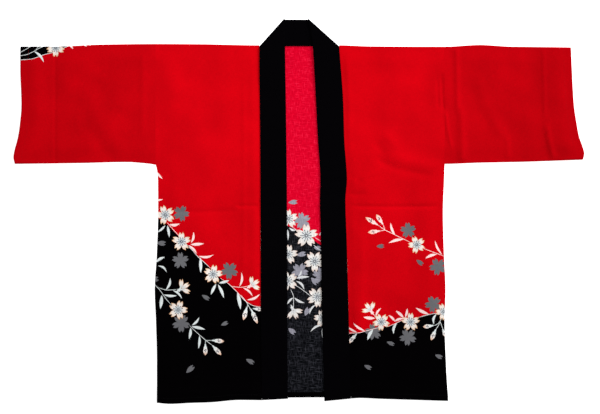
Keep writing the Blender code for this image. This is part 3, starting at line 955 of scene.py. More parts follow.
leftPrint = {
    "redEdge": (
        (-316.5, -12.5), (-308.8, -15.2), (-294.5, -23.5), (-281.3, -36.7), (-264.8, -54.3), (-239.5, -77.7),
        (-224.1, -96.1), (-195.5, -124.7), (-169.1, -149.8), (-153.7, -159.9), (-136.1, -177.1),
        (-115.0, -199.1), (-94.7, -208.8), (-78.9, -210.5),
    ),
    "blossoms": (
        (-293.6, -8.0, 21.4, 37), (-258.0, -66.6, 20.7, 18), (-188.4, -138.4, 20.9, 8),
        (-265.4, -216.7, 21.1, 0),
    ),
    "greyBlossoms": (
        (-258.4, -4.6, 18.0, -6), (-152.6, -130.5, 19.6, 50), (-260.2, -108.2, 18.5, 20),
        (-258.6, -246.2, 19.8, 54), (-326.5, -151.1, 18.5, 10),
    ),
    "halfBlossoms": ((-104.4, -162.6, 19.8, 33), (-258.6, -170.1, 21.1, 33)),
    "fallenPetals": (
        (-313.2, -69.7, -292.3, -70.6, 11.0), (-213.7, -183.7, -196.1, -193.8, 9.2),
        (-171.3, -250.6, -155.4, -243.5, 8.8), (-247.8, -355.3, -230.7, -339.5, 11.0),
        (-116.7, -324.5, -98.2, -334.2, 9.7),
    ),
    "leaves": (
        (-284.6, -28.8, -261.5, -27.1, 7.5, -2.6), (-293.6, -31.0, -310.8, -46.2, 5.7, 0.9),
        (-288.8, -30.8, -284.6, -57.2, 7.0, 0.4), (-236.8, -69.7, -231.6, -45.5, 6.6, -2.6),
        (-238.2, -73.0, -208.7, -70.6, 8.1, -0.7), (-243.2, -74.6, -224.1, -93.1, 6.2, 2.0),
        (-220.6, -98.3, -186.7, -95.3, 6.4, -4.0), (-216.6, -101.0, -215.5, -135.7, 8.4, 0.4),
        (-175.7, -157.7, -152.8, -151.6, 7.3, -0.7), (-181.8, -159.7, -193.3, -183.3, 7.9, -0.7),
        (-177.9, -160.4, -164.7, -190.7, 8.1, 1.3), (-130.4, -165.7, -126.0, -134.0, 6.2, -3.3),
        (-123.1, -167.9, -101.3, -187.2, 5.5, 3.1), (-114.1, -194.7, -85.5, -181.9, 6.6, -3.5),
        (-135.2, -178.4, -128.2, -215.4, 10.1, 0.9), (-292.3, -172.7, -282.6, -146.1, 7.0, -3.5),
        (-277.1, -173.6, -256.6, -192.1, 5.5, 3.1), (-296.9, -183.3, -267.6, -185.2, 6.8, -1.8),
        (-301.3, -184.4, -304.6, -214.5, 9.5, 0.7), (-235.1, -250.6, -218.8, -233.0, 6.4, -2.2),
        (-236.0, -253.2, -205.6, -259.8, 7.7, 0.7), (-237.7, -255.9, -241.2, -280.9, 7.7, 1.1),
        (-218.4, -273.0, -220.6, -301.6, 7.0, 1.3), (-318.0, 24.5, -298.5, 26.5, 5.0, -0.9),
        (-313.5, 88.0, -299.5, 71.1, 6.0, -1.0), (-314.5, -112.0, -294.5, -100.3, 7.5, 1.6),
        (-309.9, -119.7, -290.3, -134.2, 5.4, 4.2),
    ),
    "buds": (
        (-113.6, -208.8, -122.0, -239.1, 11.4), (-105.7, -213.2, -90.8, -247.1, 10.6),
        (-101.8, -213.6, -78.9, -216.3, 9.7), (-192.4, -283.4, -164.2, -285.8, 11.0),
        (-205.4, -289.7, -205.4, -316.6, 11.4), (-190.6, -293.7, -170.4, -315.9, 10.8),
    ),
    "stems": (
        ((-288.8, -24.9), (-279.1, -36.7), (-262.8, -54.3)),
        ((-247.4, -74.6), (-235.1, -84.3), (-221.9, -99.7), (-207.8, -112.4), (-193.7, -125.2)),
        (
            (-172.6, -146.7), (-153.7, -159.9), (-136.1, -177.1), (-115.0, -199.1), (-94.7, -208.8),
            (-78.9, -210.1),
        ),
        ((-148.4, -164.8), (-128.4, -167.0), (-110.6, -164.3)),
        ((-127.7, -183.7), (-115.8, -198.7), (-104.8, -218.5)),
        ((-112.1, -203.9), (-113.6, -211.4)),
        ((-318.7, -159.1), (-304.6, -174.5), (-291.8, -192.5), (-280.8, -205.3)),
        ((-309.0, -167.9), (-289.2, -173.1), (-269.0, -171.8)),
        ((-240.4, -251.0), (-228.0, -262.9), (-203.8, -284.0), (-188.9, -295.5)),
        ((-205.2, -283.6), (-191.1, -283.6)),
        ((-204.9, -283.6), (-205.4, -291.1)),
    ),
}
rightPrint = {
    "redEdge": (
        (101.5, -269.9), (128.4, -267.3), (146.9, -262.9), (163.6, -258.5), (178.5, -254.5), (197.0, -252.8),
        (215.5, -244.9), (229.6, -237.8), (263.5, -233.0), (286.3, -226.8), (312.7, -222.0), (328.1, -214.9),
    ),
    "blossoms": (
        (259.1, -73.5, 19.1, 39), (181.2, -243.1, 18.9, 50), (245.6, -243.1, 20.2, 18),
        (318.5, -220.7, 18.5, 40),
    ),
    "greyBlossoms": (
        (240.1, -41.8, 17.6, 23), (305.5, -121.7, 19.4, 45), (295.4, -204.2, 18.9, 44),
        (163.8, -264.7, 18.5, 30), (239.7, -276.3, 18.9, 48),
    ),
    "halfBlossoms": ((157.9, -218.0, 19.8, 125),),
    "fallenPetals": (
        (170.2, -77.0, 187.8, -76.3, 9.2), (257.7, -106.3, 273.1, -117.7, 9.2),
        (192.6, -286.4, 210.2, -293.3, 8.4), (143.3, -338.1, 159.6, -346.1, 9.2),
        (299.1, -315.3, 315.8, -322.3, 9.2),
    ),
    "leaves": (
        (211.5, -52.8, 201.4, -25.3, 6.6, 2.0), (229.8, -61.4, 197.0, -69.7, 7.5, -2.0),
        (315.2, -95.7, 299.1, -64.0, 5.7, 2.6), (303.1, -94.4, 277.5, -103.6, 7.5, -2.0),
        (168.9, -231.2, 180.7, -212.5, 5.7, 2.2), (167.5, -235.0, 141.6, -232.5, 8.6, 0.7),
        (145.1, -262.7, 119.6, -245.7, 6.2, 2.0), (108.1, -255.0, 127.9, -266.0, 5.7, -0.9),
        (163.1, -259.8, 150.8, -283.1, 8.8, -1.8), (211.1, -241.8, 197.0, -228.1, 6.2, -1.3),
        (209.6, -242.2, 230.0, -235.2, 6.4, 1.5), (215.7, -244.6, 208.0, -269.5, 7.3, -3.5),
        (230.7, -234.3, 212.9, -218.5, 7.7, -0.9), (233.8, -233.0, 238.4, -213.2, 6.6, -1.1),
        (286.3, -226.6, 256.9, -211.9, 8.4, 1.1), (302.8, -225.3, 296.9, -248.8, 6.2, -4.2),
    ),
    "buds": (
        (175.0, -31.0, 146.4, -13.2, 10.6), (185.6, -29.9, 170.2, -6.8, 11.0),
        (179.9, -42.9, 151.7, -46.4, 11.0), (127.9, -268.2, 108.6, -290.6, 9.7),
        (296.9, -250.8, 272.7, -254.1, 10.8), (301.5, -258.1, 290.3, -283.6, 11.2),
        (315.8, -257.6, 322.9, -276.1, 9.2),
    ),
    "stems": (
        ((173.7, -29.9), (186.5, -39.4), (209.3, -50.8), (230.9, -61.4), (243.7, -67.5)),
        ((185.1, -28.4), (189.1, -40.7)),
        ((179.0, -42.9), (190.4, -41.1)),
        ((274.5, -81.6), (298.2, -90.9), (318.0, -97.9)),
        ((165.3, -226.4), (169.7, -235.6)),
        ((103.7, -267.7), (128.4, -267.3), (146.9, -262.9), (163.6, -258.5), (176.3, -255.4)),
        ((197.0, -252.8), (215.5, -244.9), (229.6, -237.8)),
        ((263.5, -233.0), (286.3, -226.8), (312.7, -222.0)),
        ((313.6, -236.1), (306.6, -246.2), (297.3, -251.5)),
        ((311.0, -243.5), (301.5, -259.8)),
        ((311.0, -242.7), (317.1, -261.1)),
    ),
}
backPrint = {
    "redEdge": (
        (-320, -14), (-280, -22), (-230, -12), (-180, -4), (-130, -12), (-80, -22), (-32.7, -29.0),
        (-18.2, -34.5), (-3.2, -42.5), (15.7, -54.3), (34.7, -65.3), (53.1, -78.1), (90, -104), (140, -132),
        (200, -150), (262, -158), (332, -170),
    ),
    "blossoms": (
        (-23.0, -16.5, 21.1, 20), (16.4, -53.5, 25.5, 18), (-23.4, -94.8, 21.1, 10), (34.9, -110.2, 22.9, 54),
        (-24.8, -153.3, 22.4, 36), (40.4, -188.5, 22.4, 60), (51.8, -235.2, 18.5, 30), (-262, -34, 22, 12),
        (-196, -16, 21, 40), (-118, -26, 22, 66), (-82, -70, 20, 28), (-170, -92, 21, 8),
        (-240, -128, 22, 50), (-84, -196, 21, 20), (96, -120, 22, 34), (158, -146, 21, 60),
        (232, -160, 22, 22), (298, -176, 20, 48), (124, -206, 21, 10), (206, -238, 20, 64),
    ),
    "greyBlossoms": (
        (7.4, -20.9, 18.9, 30), (2.1, -131.8, 18.9, 60), (48.3, -140.6, 18.5, 20), (-228, 16, 19, 20),
        (-146, 6, 18, 48), (-214, -74, 19, 62), (-118, -122, 18, 30), (-286, -96, 18, 8), (74, -76, 18, 44),
        (186, -112, 19, 20), (268, -126, 18, 56), (96, -168, 19, 30), (176, -196, 18, 12),
        (262, -218, 19, 40),
    ),
    "halfBlossoms": (
        (-12.4, -217.1, 20.7, 295), (-176, -168, 20, 250), (110, -262, 20, 280), (286, -262, 19, 245),
    ),
    "fallenPetals": (
        (-23.9, 19.1, -2.8, 20.9, 10.1), (32.5, -79.4, 49.6, -82.1, 10.1), (-5.0, -97.0, 15.7, -92.2, 11.0),
        (26.7, -145.4, 40.8, -160.8, 11.0), (13.1, -230.3, 21.9, -211.4, 11.0),
        (-23.4, -256.7, -8.0, -269.5, 11.0), (-270, -186, -252, -194, 9), (-206, -232, -190, -226, 10),
        (-130, -262, -116, -274, 9), (160, -300, 176, -294, 10), (236, -322, 250, -334, 9),
        (-60, -330, -44, -322, 10), (86, -352, 98, -364, 9), (-240, -318, -224, -310, 10),
    ),
    "leaves": (
        (-21.2, -35.9, -5.0, -40.7, 5.3, -3.1), (-24.8, -39.8, -23.9, -64.0, 4.8, 0.7),
        (-1.9, -143.7, 5.2, -128.7, 4.4, -2.6), (-6.3, -147.6, 23.7, -144.1, 7.0, 1.3),
        (-6.3, -153.3, 11.8, -172.3, 6.2, 4.0), (-12.9, -189.9, -25.6, -204.4, 5.7, -1.3),
        (-10.2, -189.9, 12.7, -201.7, 6.2, -2.2), (37.7, -204.8, 23.2, -226.8, 4.8, -3.5),
        (53.1, -249.7, 25.4, -265.1, 5.7, -4.0), (50.9, -257.6, 54.0, -283.6, 7.5, 0.7),
        (44.3, -53.5, 52.3, -45.1, 5.3, 0.4), (-236, -20, -214, -34, 6.4, 1.8),
        (-232, -14, -226, 12, 6.2, -2.4), (-168, -14, -146, -22, 6.6, 1.6), (-160, -6, -150, 18, 6.0, -2.2),
        (-96, -36, -80, -50, 6.2, 1.8), (-142, -98, -120, -104, 6.6, 2.0),
        (-206, -126, -184, -136, 6.8, -1.8), (-60, -204, -44, -222, 6.2, 2.2),
        (118, -130, 136, -118, 6.4, -2.0), (180, -154, 202, -150, 6.8, 1.8), (186, -160, 196, -182, 6.4, 2.2),
        (254, -166, 276, -158, 6.6, -1.8), (148, -214, 168, -224, 6.2, 2.0), (228, -246, 246, -262, 6.4, 1.8),
    ),
    "stems": (
        ((-18.2, -32.3), (-3.2, -42.5)),
        ((34.7, -57.4), (50.9, -67.1)),
        ((32.0, -74.1), (50.1, -88.2)),
        ((-13.3, -159.1), (6.9, -171.8), (27.6, -187.7)),
        ((-17.7, -172.3), (-11.6, -188.5), (-11.6, -211.4)),
        ((-244, -26), (-226, -14), (-212, -14)),
        ((-178, -6), (-150, -12), (-136, -20)),
        ((-100, -34), (-90, -46), (-86, -56)),
        ((60, -84), (76, -98), (84, -106)),
        ((112, -132), (128, -138), (142, -142)),
        ((176, -150), (200, -156), (214, -160)),
        ((252, -164), (274, -168), (282, -172)),
    ),
}
sleevePrint = {
    "redBelow": True,
    "redEdge": (
        (-650, 331.0), (-612.6, 331.5), (-590.4, 334.0), (-573.0, 339.0), (-558.5, 344.7), (-542.2, 348.7),
        (-519.8, 357.9), (-495.3, 368.1), (-440, 400),
    ),
    "blossoms": ((-534.7, 359.3, 19.8, 54), (-560, 412, 21, 10), (-498, 428, 20, 40), (-548, 482, 21, 66)),
    "greyBlossoms": ((-586, 446, 19, 20), (-462, 398, 18, 50), (-512, 470, 18, 30)),
    "fallenPetals": ((-436, 420, -420, 428, 9.5), (-590, 540, -576, 552, 9.5), (-452, 470, -438, 462, 9)),
    "leaves": (
        (-581.8, 351.6, -560.2, 327.1, 6.6, 3.5), (-505.7, 366.7, -496.0, 356.6, 5.3, 0.7),
        (-474.0, 368.9, -466.5, 361.9, 5.7, 0.4), (-460.4, 368.9, -458.2, 364.1, 4.4, 0.2),
        (-538, 424, -520, 440, 6.4, 1.8), (-476, 436, -460, 450, 6.2, -1.6), (-584, 404, -596, 384, 6.4, 2.0),
        (-526, 492, -506, 500, 6.6, 1.6),
    ),
    "stems": (
        (
            (-640, 331.4), (-590.4, 334.0), (-573.0, 339.0), (-558.5, 344.7), (-542.2, 348.7), (-519.8, 357.9),
            (-495.3, 368.1),
        ),
        ((-640, 338.0), (-597.6, 344.3), (-581.8, 351.6), (-569.2, 359.0), (-551.9, 365.0)),
        ((-640, 336.3), (-600.3, 355.3), (-578, 372), (-566, 394)),
        ((-578.1, 354.6), (-560, 376), (-520, 400), (-506, 412)),
        ((-540, 430), (-546, 452), (-548, 464)),
    ),
}


def frontPanel(name, right, parts):
    # its hem turned up inside, its face, and the fold over the shoulder
    hem = outline[sideName(right) + "Hem"]
    shoulder = outline["shoulder"]
    seamGap = clothStack["gap"] * (1 if right else -1)
    hemY, topY = hem["y"][0], shoulder["y"][0]
    width = abs(float(sideOf(0, right) - collarSeam(0, right)))
    faceLength = topY - hemY
    turnUp = clothStack["hemTurn"] - foldInset
    faceStart = turnUp + halfTurn
    faceEnd = faceStart + faceLength
    length = faceEnd + halfTurn + clothStack["lip"]

    def ends(share):
        hemX = mix(sideOf(hemY, right), collarSeam(hemY, right), share)
        topX = mix(sideOf(topY, right), collarSeam(topY, right), share)
        return follow(hem, "x", hemX, "y") + foldInset, follow(shoulder, "x", topX, "y") - foldInset

    def place(u, v):
        share = u / width
        low, high = ends(share)
        up = np.clip((v - faceStart) / faceLength, 0, 1)
        hemAngle = np.clip((v - turnUp) / foldRadius, 0, pi)
        topAngle = np.clip((v - faceEnd) / foldRadius, 0, pi)
        inside = np.maximum(turnUp - v, 0) - np.maximum(v - faceEnd - halfTurn, 0)
        y = mix(low, high, up) + inside + foldRadius * (np.sin(topAngle) - np.sin(hemAngle))
        side = sideOf(y, right)
        seam = collarSeam(y, right) + seamGap
        x = mix(side, seam, share)

        def heldBack(run):
            sidesHold = 1 - (1 - held(abs(x - side), run)) * (1 - held(y - outline["underarm"], run))
            collarHold = held(abs(x - seam), min(run, clothStack["collarEdge"]))
            return sidesHold * collarHold * held(high - y, run) * held(y - low, run)

        drawnIn = pinch(abs(x - side)) * (y < outline["underarm"])
        face = level(1) + 2 * layer * hemRise(y - low) + swell(x, y, heldBack) - drawnIn
        z = np.where(v < faceStart, level(2.5) - foldRadius * np.cos(hemAngle), face)
        z = np.where(v > faceEnd, level(0.5) + foldRadius * np.cos(topAngle), z)
        return np.column_stack([x, y, z])

    def toFlat(points):
        x, y = points.T
        share = (x - sideOf(y, right)) / (collarSeam(y, right) + seamGap - sideOf(y, right))
        low, high = ends(np.clip(share, 0, 1))
        return np.column_stack([share * width, faceStart + (y - low) / (high - low) * faceLength])

    columns = spread(0, width, meshSteps["face"])
    rows = joined(
        spread(0, turnUp, meshSteps["frontHem"]), spread(turnUp, faceStart, foldStep),
        spread(faceStart, faceEnd, meshSteps["face"]), spread(faceEnd, faceEnd + halfTurn, foldStep),
        spread(faceEnd + halfTurn, length, meshSteps["lip"]),
    )
    folded = [j for j, v in enumerate(rows) if v <= faceStart + closeTo or v >= faceEnd - closeTo]
    drawn = printed(parts, toFlat)
    flat, faces, printedBy = flatMesh(columns, rows, [], folded, drawn)
    piece = makeCloth(name, flat, faces, printedBy, place, right, ("face", "reverse"), drawn)
    return piece, place, {"width": width, "length": length, "faceStart": faceStart, "faceEnd": faceEnd}


def blackBelow(redEdge, floor=-470):
    return tuple(redEdge) + ((redEdge[-1][0], floor), (redEdge[0][0], floor))


def backPanel(name, parts):
    # flat on the floor, its hem turned up inside and its top edge under the shoulder folds
    sides = outline["sides"]
    hem = outline["backHem"]
    shoulder = outline["shoulder"]
    width = sides["right"][0] - sides["left"][0]
    hemY, topY = hem["y"][0], shoulder["y"][0]
    faceLength = topY - hemY
    turnUp = clothStack["hemTurn"] - foldInset
    faceStart = turnUp + halfTurn
    length = faceStart + faceLength

    def ends(share):
        hemX = mix(sides["left"][0], sides["right"][0], share)
        topX = mix(outline["armholeLeft"], outline["armholeRight"], share)
        low = follow(hem, "x", hemX, "y") + foldInset
        return low, follow(shoulder, "x", topX, "y") - foldInset - clothStack["lip"] - clothStack["sewnGap"]

    def place(u, v):
        share = u / width
        low, high = ends(share)
        up = np.clip((v - faceStart) / faceLength, 0, 1)
        angle = np.clip((v - turnUp) / foldRadius, 0, pi)
        y = mix(low, high, up) + np.maximum(turnUp - v, 0) - foldRadius * np.sin(angle)
        left, right = sideOf(y, False), sideOf(y, True)
        x = mix(left, right, share)
        seamed = (y < outline["underarm"]) * (y > low + clothStack["pinchAboveHem"])
        drawnIn = pinch(np.minimum(x - left, right - x)) * seamed
        z = np.where(v < faceStart, level(0.5) + foldRadius * np.cos(angle), level(0) + drawnIn)
        return np.column_stack([x, y, z])

    def toFlat(points):
        x, y = points.T
        share = (x - sideOf(y, False)) / (sideOf(y, True) - sideOf(y, False))
        low, high = ends(np.clip(share, 0, 1))
        return np.column_stack([share * width, faceStart + (y - low) / (high - low) * faceLength])

    columns = spread(0, width, meshSteps["lying"])
    rows = joined(
        spread(0, turnUp, meshSteps["backHem"]), spread(turnUp, faceStart, foldStep),
        spread(faceStart, length, meshSteps["lying"]),
    )
    folded = [j for j, v in enumerate(rows) if v <= faceStart + closeTo]
    drawn = printed(parts, toFlat)
    flat, faces, printedBy = flatMesh(columns, rows, [], folded, drawn)
    piece = makeCloth(name, flat, faces, printedBy, place, False, ("reverse", "face"), drawn)
    return piece, place, {"width": width, "length": length, "faceStart": faceStart}


def sleevePanel(name, right, parts):
    # a flat tube, folded at the top and seamed below, with its cuff turned in
    inward = -1 if right else 1
    key = sideName(right)
    cuffs = outline["cuffs"]
    shoulder = outline["shoulder"]
    underarm = outline["underarm"]
    armhole = outline["armholeRight" if right else "armholeLeft"] - clothStack["sewnGap"] * inward
    length = abs(cuffs[key][0] - armhole)
    depth = shoulder["y"][0] - underarm
    turnIn = clothStack["cuffTurn"] - foldInset
    faceStart = halfTurn
    faceEnd = faceStart + depth
    backStart = faceEnd + halfTurn
    around = backStart + depth

    def section(x, y):
        cuff = follow(cuffs, "y", y, key)
        fromCuff = abs(x - cuff)
        beyondTurn = fromCuff - clothStack["cuffTurn"] - clothStack["clearOfTurn"]
        radius = foldRadius + layer * (1 - ease(beyondTurn / clothStack["cuffRun"]))
        bottom = follow(outline["sleeveBottom"], "x", x, "y")
        top = follow(shoulder, "x", x, "y")
        return fromCuff, radius, bottom, top

    def place(u, v):
        out = np.clip(u / length, 0, 1)
        turn = np.clip((u - length) / foldRadius, 0, pi)
        beyond = foldRadius * np.sin(turn) - np.maximum(u - length - halfTurn, 0)
        inset = foldRadius * (1 - np.cos(turn))
        onFold = np.clip((v - faceEnd) / foldRadius, 0, pi)
        angle = np.where(v < faceStart, (v - faceStart) / foldRadius, onFold)
        up, down = np.clip((v - faceStart) / depth, 0, 1), np.clip((v - backStart) / depth, 0, 1)
        up = np.where(v <= faceEnd, up, 1 - down)
        cuff = follow(cuffs, "y", underarm + depth * up, key)
        x = mix(armhole, cuff + foldInset * inward, out) - beyond * inward
        fromCuff, radius, bottom, top = section(x, underarm + depth * up)
        y = mix(bottom + radius + wall / 2, top - radius - wall / 2, up) + (radius - inset) * np.sin(angle)
        z = wall / 2 + radius + (radius - inset) * np.cos(angle)

        def heldBack(run):
            return held(y - bottom, run) * held(top - y, run) * held(fromCuff, run)

        onFace = (v > faceStart) & (v < faceEnd) & (u < length)
        return np.column_stack([x, y, z + np.where(onFace, swell(x, y, heldBack), 0)])

    def toFlat(points):
        x, y = points.T
        cuff = follow(cuffs, "y", y, key)
        out = (x - armhole) / (cuff + foldInset * inward - armhole)
        _, radius, bottom, top = section(x, y)
        low, high = bottom + radius + wall / 2, top - radius - wall / 2
        return np.column_stack([out * length, faceStart + (y - low) / (high - low) * depth])

    columns = joined(
        spread(0, length, meshSteps["face"]), spread(length, length + halfTurn, foldStep),
        spread(length + halfTurn, length + halfTurn + turnIn, meshSteps["cuff"]),
    )
    rows = joined(
        spread(0, faceStart, foldStep), spread(faceStart, faceEnd, meshSteps["face"]),
        spread(faceEnd, backStart, foldStep), spread(backStart, around, meshSteps["lying"]),
    )
    if parts:
        foldRows = [j for j, v in enumerate(rows) if faceEnd - closeTo <= v <= backStart + closeTo]
        foldColumns = [i for i, u in enumerate(columns) if length - closeTo <= u <= length + halfTurn + closeTo]
        drawn = printed(parts, toFlat)
        flat, faces, printedBy = flatMesh(columns, rows, foldColumns, foldRows, drawn)
    else:
        drawn = ()
        flat, faces, printedBy = gridMesh(columns, rows)
    # the sleeves' ground is the deeper red, painted shade for the dimmer light towards the cuffs
    piece = makeCloth(
        name, flat, faces, printedBy, place, not right, ("face", "reverse"), drawn, "sleeveRed", weld=True,
    )
    return piece, place, {
        "length": length, "around": around, "faceStart": faceStart, "faceEnd": faceEnd, "backStart": backStart,
        "turnIn": turnIn,
    }


def collarPiece(name):
    # one strip folded in half, its ends turned over across it at the neck corners
    band = collarBand
    inner, outer = band["innerFold"], band["outerFold"]

    def bandLines(y, right):
        rows, kinks = band[sideName(right)], band[sideName(right) + "Kinks"]
        start, end = rows["y"][0], rows["y"][-1]
        seam = np.column_stack([follow(rows, "y", y, "seam"), y])
        free = np.column_stack([follow(rows, "y", y, "free"), y + np.interp(y, rows["y"], rows["tilt"])])
        overNeck = ease((y - end + 2 * band["neckRun"]) / band["neckRun"])
        height = cornerHeight - layer * (1 - np.maximum(overNeck, hemRise(y - start)))
        for at, lift, reach in zip(kinks["y"], kinks["height"], kinks["reach"]):
            height = height + lift * np.exp(-(((y - at) / reach) ** 2))
        return seam, free, height

    corners = {}
    for right in (False, True):
        end = band[sideName(right)]["y"][-1:]
        seam, free, _ = bandLines(end, right)
        run = (free[0] - seam[0]) / np.hypot(*(free[0] - seam[0]))
        outward = np.array([-run[1], run[0]]) * (-1 if right else 1)
        onFront = -cornerInset * abs(outward[0] / run[0])
        onBack = cornerInset * outward[1] / run[1]
        corners[right] = (seam[0], free[0], run, outward, onFront, onBack)

    def cornerLines(turn, right):
        seam, free, run, outward, onFront, onBack = corners[right]
        slide = mix(onFront, onBack, turn / pi)[:, None]
        shift = (outward * -cornerInset)[None, :]
        return seam + run * slide + shift, free + shift + 0 * slide, np.tile(outward, (len(turn), 1))

    lengths = [band[key]["y"][-1] - band[key]["y"][0] for key in ("left", "right")]
    bend = pi * (inner + outer) / 2
    leftEnd, rightEnd = (cornerLines(np.array([pi]), right) for right in (False, True))
    neck = float(np.hypot(*(leftEnd[0][0] - rightEnd[0][0])))
    marks = np.cumsum([0, lengths[0], bend, neck, bend, lengths[1]])

    def place(u, v):
        size = len(u)
        seam, free, outward = np.zeros((size, 2)), np.zeros((size, 2)), np.zeros((size, 2))
        height = np.full(size, cornerHeight)
        turn = np.zeros(size)
        puff = np.ones(size)
        for right, mine in ((False, v <= marks[1]), (True, v >= marks[4])):
            rows = band[sideName(right)]
            y = rows["y"][-1] - (v[mine] - marks[4]) if right else rows["y"][0] + v[mine]
            seam[mine], free[mine], height[mine] = bandLines(y, right)
            puff[mine] = ease((marks[5] - v[mine] if right else v[mine]) / band["puffRun"])
            _, _, run, side, onFront, _ = corners[right]
            near = ease(1 - abs(rows["y"][-1] - y) / band["cornerRun"])[:, None]
            outward[mine] = side
            seam[mine] += near * (run * onFront - side * cornerInset)
            free[mine] -= near * side * cornerInset
        for right, mine in ((False, (v > marks[1]) & (v < marks[2])), (True, (v > marks[3]) & (v < marks[4]))):
            turned = (marks[4] - v[mine] if right else v[mine] - marks[1]) / bend * pi
            seam[mine], free[mine], outward[mine] = cornerLines(turned, right)
            turn[mine] = turned
            puff[mine] = 0
        mine = (v >= marks[2]) & (v <= marks[3])
        share = ((v[mine] - marks[2]) / neck)[:, None]
        seam[mine] = mix(leftEnd[0], rightEnd[0], share)
        free[mine] = mix(leftEnd[1], rightEnd[1], share)
        turn[mine] = pi
        puff[mine] = 0
        fold = np.clip((u - width) / foldRadius, 0, pi)
        out = np.where(u <= width, u / width, 1 - np.clip((u - width - halfTurn) / width, 0, 1))
        reach = (inner + outer) / 2 - foldRadius * np.cos(fold)
        run = free - seam
        span = np.hypot(*run.T)[:, None]
        run = run / span
        at = seam + run * ((span - foldInset) * out[:, None]) + run * (foldRadius * np.sin(fold))[:, None]
        at = at + outward * (reach * np.sin(turn))[:, None]
        onTop = np.clip((u - width - halfTurn) / (band["puffEdge"] * width), 0, 1)
        rise = band["puff"] * puff * onTop * np.sin(pi * np.clip(out, 0, 1)) ** band["puffPower"]
        return np.column_stack([at, height + reach * np.cos(turn) + rise])

    width = band["width"]
    columns = joined(
        spread(0, width, band["stepAcross"]), spread(width, width + halfTurn, foldStep),
        spread(width + halfTurn, 2 * width + halfTurn, band["stepAcross"]),
    )
    straight, bent = band["stepAlong"], bend / band["bendSteps"]
    steps = (straight, bent, straight, bent, straight)
    rows = joined(*(spread(start, end, step) for start, end, step in zip(marks, marks[1:], steps)))
    flat, faces, printedBy = gridMesh(columns, rows)
    piece = makeCloth(name, flat, faces, printedBy, place, False, ("collar", "collar"), (), "collarBlack")
    runs = [(marks[i], marks[i + 1]) for i in (0, 2, 4)]
    return piece, place, {"width": columns[-1], "length": rows[-1], "runs": runs}


for parts in (leftPrint, rightPrint, backPrint):
    parts["blackGround"] = blackBelow(parts["redEdge"])
sleevePrint["blackGround"] = sleevePrint["redEdge"][:-1] + (
    (-452, 386), (-424, 424), (-438, 476), (-492, 528), (-560, 560), (-650, 572),
)

print("coat: cloth")
back, backPlace, backSizes = backPanel("backCloth", backPrint)
frontLeft, frontLeftPlace, frontLeftSizes = frontPanel("frontLeftCloth", False, leftPrint)
frontRight, frontRightPlace, frontRightSizes = frontPanel("frontRightCloth", True, rightPrint)
sleeveLeft, sleeveLeftPlace, sleeveLeftSizes = sleevePanel("sleeveLeftCloth", False, sleevePrint)
sleeveRight, sleeveRightPlace, sleeveRightSizes = sleevePanel("sleeveRightCloth", True, None)
collar, collarPlace, collarSizes = collarPiece("collarCloth")

# The sewing: rows of small stitches that lie half sunk in the cloth

sewing = {
    "spacing": 4.0 * mm,
    "length": 3.1 * mm,
    "breadth": 0.62 * mm,
    "height": 0.42 * mm,
    "cuffIn": 17.4 * mm,
    "hemUp": 10.6 * mm,
    "collarIn": 2.4 * mm,
    "sunk": 0.1 * mm,
    "fromEnd": 2.5 * mm,
    "step": 4 * mm,
    "unevenness": 0.14,
    "seed": 11,
}
threadTones = {"red thread": (178, 2, 14), "black thread": (13, 12, 15)}
threadLook = {"twist": 0.4 * mm, "shades": (0.75, 1.25), "roughness": 0.7, "shine": 0.12}


def threadFinish(name):
    finish, tree, shader = newFinish(name)
    place = tree.nodes.new("ShaderNodeTexCoord")
    twist = stretchedNoise(tree, place.outputs["Object"], threadLook["twist"], threadLook["twist"], 1)
    shade = ranged(tree, twist, *wovenCloth["toneNoise"], *threadLook["shades"])
    tone = calculateVector(tree, "SCALE", linear(*threadTones[name]) / lightLevel, shade)
    feed(tree, shader.inputs["Base Color"], tone)
    shader.inputs["Roughness"].default_value = threadLook["roughness"]
    shader.inputs["Specular IOR Level"].default_value = threadLook["shine"]
    return finish


